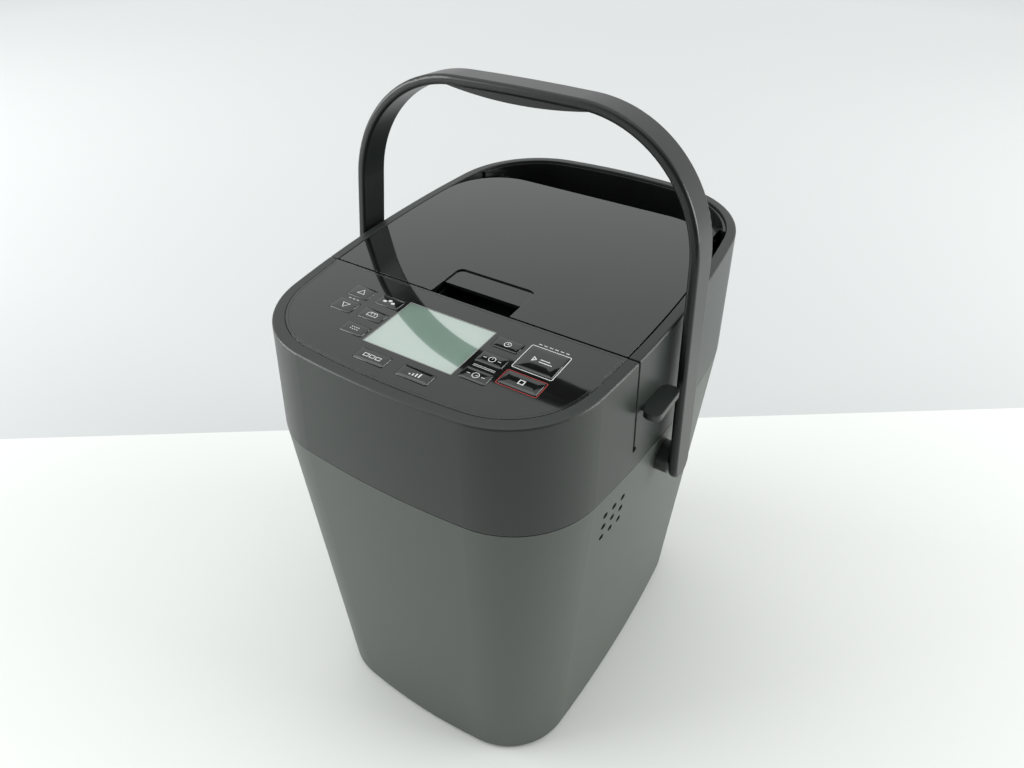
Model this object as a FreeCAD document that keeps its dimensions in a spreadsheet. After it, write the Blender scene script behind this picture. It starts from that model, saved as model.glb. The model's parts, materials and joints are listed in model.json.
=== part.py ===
"""Bread machine: a one-loaf home bakery with a carrying handle, as a parametric FreeCAD document.

Frame: +Z up, +X to the machine's own left hand seen from the front (the right of a person facing
it), the control panel faces -Y.  The origin lies on the floor, in the middle of the bounding box.
The top of the machine, called the deck, slopes up to the rear, and the panel and the lid are
modelled in the deck's own flat frame, then tilted with it.
"""
import FreeCAD, Part
import math
import os
import re

import Sketcher
from FreeCAD import Placement, Rotation, Vector

os.makedirs("parts", exist_ok=True)
doc = FreeCAD.newDocument("BreadMachine")

# ---------------------------------------------------------------- driving dimensions (mm, degrees)
DIMENSIONS = {
    # heights of the casing
    "foot_height": 4.0,           # rubber feet, floor to bottom plate
    "casing_bottom": 2.5,         # lower edge of the lower casing above the floor
    "seam_height": 250.3,         # joint between the lower and the upper casing
    "seam_gap": 0.6,              # dark line left at that joint
    "deck_height": 330.0,         # height of the deck above the origin
    "shoulder_drop": 22.0,        # the thick rim of the upper casing begins this much below it
    "rim_rise": 5.0,              # the rim's outline is given at this much above it
    "deck_tilt": 3.58,            # slope of the deck, rising to the rear
    # outline at the bottom edge
    "bottom_half_width": 99.3,
    "bottom_front": 138.7,
    "bottom_rear": 137.5,
    "bottom_front_corner": 48.8,
    "bottom_rear_corner": 50.0,
    "bottom_side_bow": 1190.0,    # radius of the bowed side wall, and so on
    "bottom_front_bow": 430.0,
    "bottom_rear_bow": 360.0,
    # outline at the seam, the widest part of the machine
    "seam_half_width": 116.8,
    "seam_front": 152.5,
    "seam_rear": 150.8,
    "seam_front_corner": 58.9,
    "seam_rear_corner": 75.1,
    "seam_side_bow": 774.0,
    "seam_front_bow": 598.0,
    "seam_rear_bow": 450.0,
    # outline at the rim
    "rim_half_width": 112.4,
    "rim_front": 148.7,
    "rim_rear": 152.3,
    "rim_front_corner": 59.3,
    "rim_rear_corner": 67.9,
    "rim_side_bow": 807.0,
    "rim_front_bow": 574.0,
    "rim_rear_bow": 387.0,
    # walls and fits
    "wall": 3.0,                  # plastic casing wall
    "rim_width": 5.9,             # flat top of the rim
    "mouth_depth": 36.0,          # depth of the opening inside the rim
    "bottom_round": 2.4,          # rounding of the lower edge
    "rim_round": 1.3,             # rounding of the deck's outer edge
    "fit": 0.4,                   # gap round a seated piece
    "running_fit": 0.08,          # radial clearance of a shaft in its bearing
    "seat_fit": 0.05,             # radial gap of a piece fixed on a shaft or in a bore
    # slit between the panel housing and the rear of the upper casing
    "slit_y": -59.2,
    "slit_width": 1.7,
    "slit_bottom": 265.5,
    "slit_hook": 1.9,
    # alarm holes in the right-hand wall
    "alarm_y": -73.8,
    "alarm_z": 221.9,
    "alarm_pitch": 9.6,
    "alarm_hole": 2.3,
    # carrying handle
    "pivot_y": -12.5,
    "pivot_z": 228.5,
    "handle_lean": 3.0,           # the handle leans back by this at rest
    "handle_foot_half_width": 130.3,
    "handle_leg_lean": 4.15,      # the legs lean in towards the top
    "handle_clearance": 110.1,    # the crown stands this much above the deck
    "handle_corner": 81.0,
    "handle_crown_bow": 1700.0,
    "handle_width": 22.0,
    "handle_thickness": 6.0,
    "handle_edge": 2.2,
    "grip_fit": 0.2,              # gap between the grip and the strap above it
    "grip_bow": 300.0,          # radius of the grip's lower face
    "grip_depth": 4.6,
    "grip_width": 17.0,
    "boss_radius": 10.5,
    "pivot_pin": 4.0,
    "boss_gap": 0.3,              # the boss ends this much short of the handle's leg
    "pin_cover": 2.7,             # plastic left outside the pin's end
    "boss_root": 108.6,
    # stop tabs on the side walls, in front of the handle's legs
    "tab_top": 293.4,
    "tab_thickness": 4.0,
    "tab_front": -57.8,
    "tab_rear": -25.5,
    "tab_cover": 4.7,             # the tab ends this much short of the leg's outer face
    "tab_width": 11.0,
    "tab_corner": 4.5,
    "tab_root": 109.5,
    "tab_neck": 6.0,              # the neck through the wall is shorter than the tab by this
    # control panel, in deck coordinates
    "panel_rear": -59.9,
    "panel_thickness": 3.0,
    "panel_border": 1.6,
    "film_thickness": 0.5,
    "skirt_depth": 25.0,
    "skirt_half_width": 100.0,
    "skirt_thickness": 1.8,
    "lcd_width": 60.0,
    "lcd_depth": 42.6,
    "lcd_y": -97.3,
    "lcd_frame": 2.0,
    "lcd_lens": 1.4,
    "row_1": -82.2,               # key rows and columns
    "row_2": -97.7,
    "row_3": -113.2,
    "row_4": -128.7,
    "start_row": -85.7,
    "cancel_row": -106.0,
    "arrow_column": -63.0,
    "left_column": -41.6,
    "process_column": -15.2,
    "level_column": 14.5,
    "right_column": 42.4,
    "start_column": 66.2,
    "arrow_width": 15.6,
    "arrow_depth": 11.0,
    "key_width": 16.8,
    "key_depth": 9.4,
    "long_key_width": 21.0,
    "start_width": 23.2,
    "start_depth": 20.4,
    "cancel_depth": 11.1,
    "key_corner": 1.2,
    "key_stand": 0.5,             # a key stands this much above the film
    "key_gap": 0.3,
    "key_flange": 1.0,
    "key_flange_thickness": 0.6,
    "key_travel": 0.5,
    "board_half_width": 82.0,
    "board_front": -131.0,
    "board_rear": -66.0,
    "board_corner": 18.0,
    "board_thickness": 1.6,
    "switch_height": 2.3,
    "switch_size": 6.0,
    # lid, in deck coordinates
    "lid_front": -58.5,
    "lid_rear": 99.6,
    "lid_inset": 6.9,
    "lid_skin": 3.0,
    "lid_corner": 45.0,           # rounding of the lid's two rear corners
    "lid_corner_x": 103.5,        # where that rounding meets the lid's side
    "frame_inset": 9.6,
    "frame_depth": 18.0,
    "frame_wall": 2.2,
    "notch_half_width": 28.3,
    "notch_rear": -28.5,
    "notch_corner": 4.5,
    "grip_flap_front": -45.4,
    "grip_sink": 1.0,
    "cup_depth": 14.0,
    "mouth_sink": 4.0,            # the cup's front walls stay this much below its flap
    "cup_wall": 1.5,
    "plate_thickness": 1.8,
    "plate_half_width": 93.0,
    "plate_front": -53.0,
    "plate_rear": 95.0,
    "plate_corner": 34.0,
    "seal_half_width": 91.5,
    "seal_front": -52.0,
    "seal_rear": 94.0,
    "seal_width": 4.0,
    "seal_height": 5.8,
    "hinge_y": 106.8,
    "hinge_depth": 13.0,
    "hinge_pin": 2.5,
    "hinge_ear": 5.2,
    "ear_inner": 74.0,
    "ear_outer": 83.0,
    "hinge_boss_outer": 90.5,
    "dispenser_left": -46.0,
    "dispenser_right": 46.0,
    "dispenser_front": -24.5,
    "dispenser_rear": 13.5,
    "dispenser_gap": 8.0,         # between the raisin box and the yeast box
    "yeast_margin": 5.0,          # between the yeast box and the chamber's side wall
    "yeast_rear": -2.5,
    "dispenser_top": 4.2,
    "dispenser_bottom": 38.0,
    "dispenser_wall": 1.5,
    "flap_thickness": 1.4,
    "flap_pin": 1.1,
    "flap_lug": 2.6,
    "flap_lug_thickness": 2.0,
    # frame round the mouth of the chamber, and the hinge cover, in deck coordinates
    "mouth_top": 26.5,
    "mouth_thickness": 2.5,
    "mouth_half_width": 86.0,
    "mouth_front": -50.0,
    "mouth_rear": 92.0,
    "mouth_frame_front": -57.0,
    "mouth_frame_rear": 98.5,
    "cover_front": 100.4,
    "cover_floor": 31.0,
    "cover_wall": 2.0,
    "steam_slot_width": 3.0,
    "steam_slot_length": 20.0,
    "steam_slot_pitch": 9.0,
    # baking chamber
    "drive_y": 21.0,
    "chamber_half_width": 84.0,
    "chamber_half_depth": 69.0,
    "chamber_corner": 25.0,
    "chamber_floor": 62.0,
    "chamber_sheet": 1.0,
    "flange_half_width": 96.0,
    "flange_front": -56.0,
    "flange_rear": 97.0,
    "seat_radius": 33.5,
    "seat_height": 9.0,
    "heater_level": 92.0,
    "heater_tube": 3.2,
    "heater_sleeve": 0.8,         # the cold ends are thicker than the tube by this
    "heater_gap": 7.0,            # from the tube's axis to the chamber's wall
    "heater_corner": 18.0,
    "terminal_x": 16.0,
    "terminal_reach": -57.0,
    "sensor_level": 150.0,
    "sensor_radius": 3.0,
    # bread pan
    "pan_bottom": 80.0,
    "pan_top": 228.5,
    "pan_bottom_half_width": 58.0,
    "pan_bottom_half_depth": 46.0,
    "pan_half_width": 64.0,
    "pan_half_depth": 52.0,
    "pan_corner": 20.0,
    "pan_wall": 1.6,
    "pan_rim": 3.0,
    "pan_rim_thickness": 2.2,
    "pan_foot_radius": 30.0,
    "pan_foot_wall": 2.6,
    "bail_half_width": 60.0,
    "bail_reach": 44.0,
    "bail_radius": 2.0,
    "bail_rise": 3.7,             # the bail's pivots above the pan's rim
    "bail_fit": 0.15,
    "ear_height": 9.0,
    "ear_width": 12.0,
    # kneading drive
    "shaft_radius": 4.0,
    "bush_radius": 7.0,
    "bush_top": 90.0,
    "bush_bottom": 76.4,
    "blade_hub_radius": 8.0,
    "blade_bottom": 90.6,
    "blade_top": 108.0,
    "vane_gap": 3.4,              # the vane passes the pan's wall by this much
    "vane_height": 30.0,
    "vane_thickness": 6.0,
    "coupling_radius": 9.5,
    "coupling_bottom": 64.0,
    "coupling_height": 6.0,
    "prong_height": 5.2,
    "bar_bottom": 71.0,
    "bar_height": 4.4,
    "bar_length": 16.0,
    "bar_width": 4.0,
    "pulley_radius": 38.0,
    "pulley_bottom": 22.0,
    "pulley_height": 10.0,
    "pulley_hub": 9.0,
    "motor_pulley_radius": 8.0,
    "motor_pulley_flange": 10.5,
    "belt_thickness": 2.0,
    "belt_gap": 0.3,
    "belt_height": 6.0,
    "motor_y": -97.0,
    "motor_radius": 30.0,
    "motor_height": 70.0,
    "motor_shaft": 3.0,
    # inner structure
    "plate_gap": 0.3,
    "base_thickness": 2.5,
    "chassis_level": 34.0,
    "chassis_thickness": 2.0,
    "chassis_half_width": 78.0,
    "chassis_front": -122.0,
    "chassis_rear": 88.0,
    "post_size": 10.0,
    "shield_y": -62.5,
    "shield_thickness": 1.2,
    "shield_height": 160.0,
    "shield_half_width": 74.0,
    "power_board_bottom": 128.0,
    "power_board_height": 62.0,
    "power_board_half_width": 56.0,
    "standoff": 6.0,
    "foot_radius": 11.0,
    "foot_x": 68.0,
    "foot_front": -104.0,
    "foot_rear": 100.0,
    "screw_radius": 3.2,
    "grommet_x": -40.0,
    "grommet_z": 34.0,
    "grommet_radius": 7.0,
    "buzzer_radius": 12.5,
    "buzzer_face": 106.6,
    "buzzer_depth": 8.0,
}

sheet = doc.addObject("Spreadsheet::Sheet", "Dims")
for row, (alias, value) in enumerate(DIMENSIONS.items(), start=1):
    sheet.set(f"A{row}", alias)
    sheet.set(f"B{row}", str(value))
    sheet.setAlias(f"B{row}", alias)
doc.recompute()

FOLLOWING = {  # sizes that follow from the driving ones, so that neighbours stay together
    "shoulder_height": "deck_height - shoulder_drop",
    "rim_level": "deck_height + rim_rise",
    "handle_rise": "deck_height - pivot_z + handle_clearance",
    "boss_reach": "handle_foot_half_width - handle_thickness / cos(handle_leg_lean)"
                  " - boss_radius * tan(handle_leg_lean) - boss_gap",
    "pin_reach": "handle_foot_half_width - pin_cover",
    "tab_reach": "handle_foot_half_width - tab_cover",
    "yeast_left": "dispenser_right + dispenser_gap",
    "yeast_right": "chamber_half_width - yeast_margin",
    "heater_half_width": "chamber_half_width - heater_gap",
    "heater_half_depth": "chamber_half_depth - heater_gap",
    "bail_level": "pan_top + bail_rise",
    "vane_reach": "pan_bottom_half_depth - pan_wall - vane_gap",
}

WORD = re.compile(r"[a-z][a-z_0-9]*")
NODES = {}                         # label of each sub-part, and the object that holds its shape


# ---------------------------------------------------------------- helpers
def spelled(text):
    """An expression with each following size written out in driving dimensions."""
    return WORD.sub(lambda word: f"({FOLLOWING[word.group()]})" if word.group() in FOLLOWING
                    else word.group(), str(text))


def value_of(text):
    """The number that an expression over the driving dimensions gives."""
    return float(sheet.evalExpression(spelled(text)))


def bind(thing, prop, text):
    """Tie a property to an expression over the driving dimensions."""
    full = WORD.sub(lambda word: "Dims." + word.group() if word.group() in DIMENSIONS else word.group(),
                    spelled(text))
    thing.setExpression(prop, full)


def node(label, thing):
    """Name a finished sub-part."""
    thing.Label = label
    NODES[label] = thing
    return thing


def place(thing, x="0", y="0", z="0"):
    """Put a primitive's corner or axis at a point of the machine."""
    for prop, text in (("x", x), ("y", y), ("z", z)):
        bind(thing, f"Placement.Base.{prop}", text)
    return thing


def place_on_deck(thing, x="0", y="0", z="0"):
    """Put a piece's origin at a point of the tilted deck, and tilt the piece with the deck."""
    thing.Placement = Placement(Vector(), Rotation(Vector(1, 0, 0), value_of("deck_tilt")))
    bind(thing, "Placement.Rotation.Angle", "deck_tilt")
    bind(thing, "Placement.Base.x", x)
    bind(thing, "Placement.Base.y", f"({y}) * cos(deck_tilt) - ({z}) * sin(deck_tilt)")
    bind(thing, "Placement.Base.z",
         f"deck_height + ({y}) * sin(deck_tilt) + ({z}) * cos(deck_tilt)")
    return thing


def box(x0, x1, y0, y1, z0, z1, deck=False):
    """A block between two corners, in machine or in deck coordinates."""
    block = doc.addObject("Part::Box", "block")
    bind(block, "Length", f"({x1}) - ({x0})")
    bind(block, "Width", f"({y1}) - ({y0})")
    bind(block, "Height", f"({z1}) - ({z0})")
    return place_on_deck(block, x0, y0, z0) if deck else place(block, x0, y0, z0)


def cylinder(x, y, z, radius, length, axis="z", deck=False):
    """A round bar whose axis starts at a point and runs along x, y or z."""
    bar = doc.addObject("Part::Cylinder", "bar")
    bind(bar, "Radius", radius)
    bind(bar, "Height", length)
    turn = {"x": Rotation(Vector(0, 1, 0), 90), "y": Rotation(Vector(1, 0, 0), -90),
            "z": Rotation()}[axis]
    if deck and axis == "z":
        return place_on_deck(bar, x, y, z)
    bar.Placement = Placement(Vector(), turn)
    if deck:
        bind(bar, "Placement.Base.x", x)
        bind(bar, "Placement.Base.y", f"({y}) * cos(deck_tilt) - ({z}) * sin(deck_tilt)")
        bind(bar, "Placement.Base.z",
             f"deck_height + ({y}) * sin(deck_tilt) + ({z}) * cos(deck_tilt)")
        return bar
    return place(bar, x, y, z)


def fuse(*things):
    """Join pieces that touch or overlap into one solid."""
    result = doc.addObject("Part::MultiFuse", "joined")
    result.Shapes = list(things)
    return result


def cut(base, *tools):
    """Take one or more pieces away from a solid."""
    result = doc.addObject("Part::Cut", "cut")
    result.Base = base
    result.Tool = tools[0] if len(tools) == 1 else fuse(*tools)
    return result


def group(*things):
    """Several separate solids kept as one sub-part."""
    result = doc.addObject("Part::Compound", "group")
    result.Links = list(things)
    return result


def new_body(name):
    """An empty body with a readable name."""
    return doc.addObject("PartDesign::Body", name)


def new_sketch(body, plane="XY_Plane", offset="0"):
    """A sketch on one of the body's own origin planes, moved off it along the plane's normal."""
    sketch = body.newObject("Sketcher::SketchObject", "outline")
    support = next(item for item in body.Origin.OriginFeatures if item.Role == plane)
    sketch.AttachmentSupport = [(support, "")]
    sketch.MapMode = "FlatFace"
    bind(sketch, "AttachmentOffset.Base.z", offset)
    return sketch


def hold(sketch, kind, *where, text):
    """Add a dimension to a sketch and tie it to an expression."""
    index = sketch.addConstraint(Sketcher.Constraint(kind, *where, value_of(text)))
    bind(sketch, f"Constraints[{index}]", text)


def hold_point(sketch, edge, end, x, y):
    """Fix a point of a sketch by its two coordinates."""
    hold(sketch, "DistanceX", -1, 1, edge, end, text=x)
    hold(sketch, "DistanceY", -1, 1, edge, end, text=y)


def sketch_arc(sketch, centre, radius, start, end):
    """An arc between two angles, anticlockwise, still without its dimensions."""
    circle = Part.Circle(centre, Vector(0, 0, 1), radius)
    return sketch.addGeometry(Part.ArcOfCircle(circle, start, end), False)


def draw_circle(sketch, x, y, radius):
    """A circle given by its centre and radius."""
    centre = Vector(value_of(x), value_of(y), 0)
    edge = sketch.addGeometry(Part.Circle(centre, Vector(0, 0, 1), value_of(radius)), False)
    hold_point(sketch, edge, 3, x, y)
    hold(sketch, "Radius", edge, text=radius)


def draw_polygon(sketch, corners):
    """A closed outline of straight lines, each corner fixed by its coordinates."""
    points = [Vector(value_of(x), value_of(y), 0) for x, y in corners]
    first = sketch.GeometryCount
    for start, end in zip(points, points[1:] + points[:1]):
        sketch.addGeometry(Part.LineSegment(start, end), False)
    for index, (x, y) in enumerate(corners):
        following = first + (index + 1) % len(corners)
        sketch.addConstraint(Sketcher.Constraint("Coincident", first + index, 2, following, 1))
        hold_point(sketch, first + index, 1, x, y)


def draw_rectangle(sketch, x0, x1, y0, y1, corner=None):
    """A rectangle between two corners, with rounded corners if a radius is given."""
    if corner is None:
        draw_polygon(sketch, [(x0, y0), (x1, y0), (x1, y1), (x0, y1)])
        return
    left, right, low, high = (value_of(text) for text in (x0, x1, y0, y1))
    radius = value_of(corner)
    centres = [(right - radius, high - radius), (left + radius, high - radius),
               (left + radius, low + radius), (right - radius, low + radius)]
    up = Vector(0, 0, 1)
    arcs = []
    for turn, (x, y) in enumerate(centres):
        circle = Part.Circle(Vector(x, y, 0), up, radius)
        start = turn * math.pi / 2
        arcs.append(sketch.addGeometry(Part.ArcOfCircle(circle, start, start + math.pi / 2), False))
    sides = []
    for turn, arc in enumerate(arcs):
        start = sketch.Geometry[arc].EndPoint
        end = sketch.Geometry[arcs[(turn + 1) % 4]].StartPoint
        sides.append(sketch.addGeometry(Part.LineSegment(start, end), False))
    for turn, side in enumerate(sides):
        sketch.addConstraint(Sketcher.Constraint("Tangent", arcs[turn], 2, side, 1))
        sketch.addConstraint(Sketcher.Constraint("Tangent", side, 2, arcs[(turn + 1) % 4], 1))
    for side in (sides[0], sides[2]):
        sketch.addConstraint(Sketcher.Constraint("Horizontal", side))
    for side in (sides[1], sides[3]):
        sketch.addConstraint(Sketcher.Constraint("Vertical", side))
    hold(sketch, "Radius", arcs[0], text=corner)
    for arc in arcs[1:]:
        sketch.addConstraint(Sketcher.Constraint("Equal", arcs[0], arc))
    hold(sketch, "DistanceY", -1, 1, sides[0], 1, text=y1)
    hold(sketch, "DistanceX", -1, 1, sides[1], 1, text=x0)
    hold(sketch, "DistanceY", -1, 1, sides[2], 1, text=y0)
    hold(sketch, "DistanceX", -1, 1, sides[3], 1, text=x1)


def corner_centre(first, second, radius, side):
    """Centre of the corner circle that touches two larger circles from inside."""
    (x1, y1, r1), (x2, y2, r2) = first, second
    reach_1, reach_2 = r1 - radius, r2 - radius
    gap = math.hypot(x2 - x1, y2 - y1)
    along = (reach_1 ** 2 - reach_2 ** 2 + gap ** 2) / (2 * gap)
    across = math.sqrt(reach_1 ** 2 - along ** 2)
    ux, uy = (x2 - x1) / gap, (y2 - y1) / gap
    return (x1 + along * ux - side * across * uy, y1 + along * uy + side * across * ux)


def draw_casing_outline(sketch, level, inset="0"):
    """The casing's bowed outline at one level: four shallow arcs joined by four corner arcs.

    An inset moves the whole outline inwards: the arcs keep their centres and lose that radius.
    """
    shallow = [  # centre x, centre y, radius: right, rear, left, front
        (f"{level}_half_width - {level}_side_bow", "0", f"{level}_side_bow - ({inset})"),
        ("0", f"{level}_rear - {level}_rear_bow", f"{level}_rear_bow - ({inset})"),
        (f"{level}_side_bow - {level}_half_width", "0", f"{level}_side_bow - ({inset})"),
        ("0", f"{level}_front_bow - {level}_front", f"{level}_front_bow - ({inset})"),
    ]
    corners = [f"{level}_rear_corner - ({inset})"] * 2 + [f"{level}_front_corner - ({inset})"] * 2
    circles = [tuple(value_of(text) for text in arc) for arc in shallow]
    rounds = []
    for turn, text in enumerate(corners):
        following = circles[(turn + 1) % 4]
        x, y = corner_centre(circles[turn], following, value_of(text), side=-1)
        quadrant = ((1, 1), (-1, 1), (-1, -1), (1, -1))[turn]
        if x * quadrant[0] < 0 or y * quadrant[1] < 0:
            x, y = corner_centre(circles[turn], following, value_of(text), side=1)
        rounds.append((x, y, value_of(text)))
    up = Vector(0, 0, 1)
    order = []
    for turn in range(4):
        cx, cy, radius = circles[turn]
        before, after = rounds[turn - 1], rounds[turn]
        start = math.atan2(before[1] - cy, before[0] - cx)
        end = math.atan2(after[1] - cy, after[0] - cx)
        order.append(Part.ArcOfCircle(Part.Circle(Vector(cx, cy, 0), up, radius), start, end))
        nx, ny, _ = circles[(turn + 1) % 4]
        x, y, small = after
        start = math.atan2(y - cy, x - cx)
        end = math.atan2(y - ny, x - nx)
        order.append(Part.ArcOfCircle(Part.Circle(Vector(x, y, 0), up, small), start, end))
    edges = [sketch.addGeometry(arc, False) for arc in order]
    for index, edge in enumerate(edges):
        sketch.addConstraint(Sketcher.Constraint("Tangent", edge, 2, edges[(index + 1) % 8], 1))
    for turn, (x, y, radius) in enumerate(shallow):
        hold_point(sketch, edges[2 * turn], 3, x, y)
        hold(sketch, "Radius", edges[2 * turn], text=radius)
        hold(sketch, "Radius", edges[2 * turn + 1], text=corners[turn])


def casing_outline(body, level, height, inset="0"):
    """A horizontal sketch that holds the casing's outline."""
    sketch = new_sketch(body, "XY_Plane", height)
    draw_casing_outline(sketch, level, inset)
    return sketch


def loft(body, low, high, removes=False):
    """A straight-sided loft between two outlines, added or taken away."""
    kind = "PartDesign::SubtractiveLoft" if removes else "PartDesign::AdditiveLoft"
    feature = body.newObject(kind, "loft")
    feature.Profile = low
    feature.Sections = [high]
    feature.Ruled = True
    return feature


def pad(body, sketch, length, down=False, middle=False):
    """Raise a sketch into a solid."""
    feature = body.newObject("PartDesign::Pad", "pad")
    feature.Profile = sketch
    bind(feature, "Length", length)
    feature.Reversed = down
    if middle:
        feature.SideType = "Symmetric"
    return feature


def pocket(body, sketch, length, forward=False, middle=False):
    """Cut a sketch out of the body, against the sketch's normal unless told otherwise."""
    feature = body.newObject("PartDesign::Pocket", "pocket")
    feature.Profile = sketch
    bind(feature, "Length", length)
    feature.Reversed = forward
    if middle:
        feature.SideType = "Symmetric"
    return feature


def edges_where(shape, test):
    """Names of a shape's edges that pass a test."""
    return [f"Edge{number}" for number, edge in enumerate(shape.Edges, start=1) if test(edge)]


def round_edges(body, feature, radius, test):
    """Fillet the edges of the body's last feature that pass a test."""
    doc.recompute()
    fillet = body.newObject("PartDesign::Fillet", "rounding")
    fillet.Base = (feature, edges_where(feature.Shape, test))
    bind(fillet, "Radius", radius)
    return fillet


# ---------------------------------------------------------------- casing
def lower_casing():
    """Tapered outer shell, open at the top and the bottom."""
    body = new_body("lower_casing")
    top = "seam_height - seam_gap / 2"
    loft(body, casing_outline(body, "bottom", "casing_bottom"), casing_outline(body, "seam", top))
    shell = loft(body, casing_outline(body, "bottom", "casing_bottom", "wall"),
                 casing_outline(body, "seam", top, "wall"), removes=True)
    doc.recompute()
    underside = min(shell.Shape.Faces, key=lambda face: face.CenterOfMass.z)
    round_edges(body, shell, "bottom_round",
                lambda edge: any(edge.isSame(side) for side in underside.OuterWire.Edges))

    beyond = "seam_half_width + 5"
    alarm = new_sketch(body, "YZ_Plane", beyond)
    for across in (-1, 0, 1):
        for up in (-1, 0, 1):
            draw_circle(alarm, f"alarm_y + {across} * alarm_pitch",
                        f"alarm_z + {up} * alarm_pitch", "alarm_hole")
    pocket(body, alarm, "wall + 18")

    pivots = new_sketch(body, "YZ_Plane", "0")
    draw_circle(pivots, "pivot_y", "pivot_z", "boss_radius + 0.15")
    pocket(body, pivots, "2 * (seam_half_width + 5)", middle=True)

    cord = new_sketch(body, "XZ_Plane", "0")
    draw_circle(cord, "grommet_x", "grommet_z", "grommet_radius")
    pocket(body, cord, "seam_rear + 5")
    return node("lower_casing", body)


def upper_casing():
    """Upper band with the thick sloping rim, the two slits and the necks' slots for the tabs."""
    body = new_body("upper_casing")
    start = "seam_height + seam_gap / 2"
    loft(body, casing_outline(body, "seam", start), casing_outline(body, "rim", "rim_level + 10"))
    loft(body, casing_outline(body, "seam", start, "wall"),
         casing_outline(body, "rim", "shoulder_height", "wall + 0.5"), removes=True)

    deck = new_sketch(body, "YZ_Plane", "0")
    far = "(seam_rear + 40)"
    draw_polygon(deck, [(f"-{far}", f"deck_height - {far} * tan(deck_tilt)"),
                        (far, f"deck_height + {far} * tan(deck_tilt)"),
                        (far, "rim_level + 60"), (f"-{far}", "rim_level + 60")])
    top = pocket(body, deck, "4 * seam_half_width", middle=True)
    slope = math.tan(math.radians(value_of("deck_tilt")))
    level = value_of("deck_height")
    round_edges(body, top, "rim_round",
                lambda edge: all(abs(point.Z - level - slope * point.Y) < 0.01
                                 for point in edge.Vertexes))

    slit = new_sketch(body, "YZ_Plane", "0")
    draw_rectangle(slit, "slit_y - slit_width / 2", "slit_y + slit_width / 2",
                   "slit_bottom", "rim_level + 30")
    pocket(body, slit, "4 * seam_half_width", middle=True)
    hook = new_sketch(body, "YZ_Plane", "0")
    draw_circle(hook, "slit_y + slit_width / 2", "slit_bottom", "slit_hook")
    pocket(body, hook, "4 * seam_half_width", middle=True)

    neck = new_sketch(body, "YZ_Plane", "0")
    draw_rectangle(neck, "tab_front + tab_neck - 0.15", "tab_rear - tab_neck + 0.15",
                   "tab_top - tab_thickness - 0.15", "tab_top + 0.15")
    pocket(body, neck, "4 * seam_half_width", middle=True)
    opening = new_body("rim_opening")
    pad(opening, casing_outline(opening, "rim", "-mouth_depth", "rim_width"), "mouth_depth + 10")
    return node("upper_casing", cut(body, place_on_deck(opening)))


def base_plate():
    """Bottom cover inside the lower casing, with vent slots."""
    body = new_body("base_plate")
    plate = pad(body, casing_outline(body, "bottom", "foot_height", "wall + plate_gap"),
                "base_thickness")
    slots = new_sketch(body, "XY_Plane", "foot_height")
    for turn in range(-3, 4):
        draw_rectangle(slots, f"{turn} * 14 - 2.5", f"{turn} * 14 + 2.5", "-118", "-82", "2.4")
    pocket(body, slots, "2 * base_thickness", forward=True)
    return node("base_plate", body)


def feet():
    """Four rubber feet under the bottom plate."""
    pads = [cylinder(f"{side} * foot_x", y, "0", "foot_radius", "foot_height")
            for side in (-1, 1) for y in ("foot_front", "foot_rear")]
    return node("feet", group(*pads))


def base_screws():
    """Four screws that hold the bottom plate to the chassis legs."""
    heads = [cylinder(f"{side} * (chassis_half_width - post_size / 2 - 4)", y, "foot_height - 1.6",
                      "screw_radius", "1.6")
             for side in (-1, 1)
             for y in ("chassis_front + post_size / 2 + 34", "chassis_rear - post_size / 2 - 14")]
    return node("base_screws", group(*heads))


def cord_grommet():
    """Bush in the rear wall where the mains lead would enter."""
    flange = cylinder("grommet_x", "bottom_rear - 3", "grommet_z", "grommet_radius - 0.1", "5", "y")
    inner = cylinder("grommet_x", "bottom_rear - 12", "grommet_z", "grommet_radius + 2", "7", "y")
    neck = cylinder("grommet_x", "bottom_rear - 10", "grommet_z", "grommet_radius - 0.1", "10", "y")
    bore = cylinder("grommet_x", "bottom_rear - 20", "grommet_z", "grommet_radius - 3.5", "40", "y")
    return node("cord_grommet", cut(fuse(flange, inner, neck), bore))


# ---------------------------------------------------------------- carrying handle
def handle_pivots():
    """Boss and pin on each side wall, which carry the handle."""
    bosses = []
    for side, name in ((1, "right"), (-1, "left")):
        def bar(start, end, radius):
            near = start if side > 0 else f"-({end})"
            return cylinder(near, "pivot_y", "pivot_z", radius, f"({end}) - ({start})", "x")
        bosses.append(fuse(bar("boss_root - 2.5", "boss_root", "boss_radius + 3"),
                           bar("boss_root - 2.5", "boss_reach", "boss_radius"),
                           bar("boss_root", "pin_reach", "pivot_pin")))
    return node("handle_pivots", group(*bosses))


def handle_stops():
    """Flat tab on each side wall that stops the handle from falling forwards."""
    tabs = []
    for side in (1, -1):
        body = new_body("stop_tab")
        level = new_sketch(body, "XY_Plane", "tab_top")
        reach, edge = f"{side} * tab_reach", f"{side} * (tab_reach - tab_width)"
        low, high = (edge, reach) if side > 0 else (reach, edge)
        draw_rectangle(level, low, high, "tab_front", "tab_rear", "tab_corner")
        top = pad(body, level, "tab_thickness", down=True)
        neck = new_sketch(body, "XY_Plane", "tab_top")
        inner, outer = f"{side} * tab_root", f"{side} * (tab_reach - 5)"
        low, high = (inner, outer) if side > 0 else (outer, inner)
        draw_rectangle(neck, low, high, "tab_front + tab_neck", "tab_rear - tab_neck")
        pad(body, neck, "tab_thickness", down=True)
        tabs.append(body)
    return node("handle_stops", group(*tabs))


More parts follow.
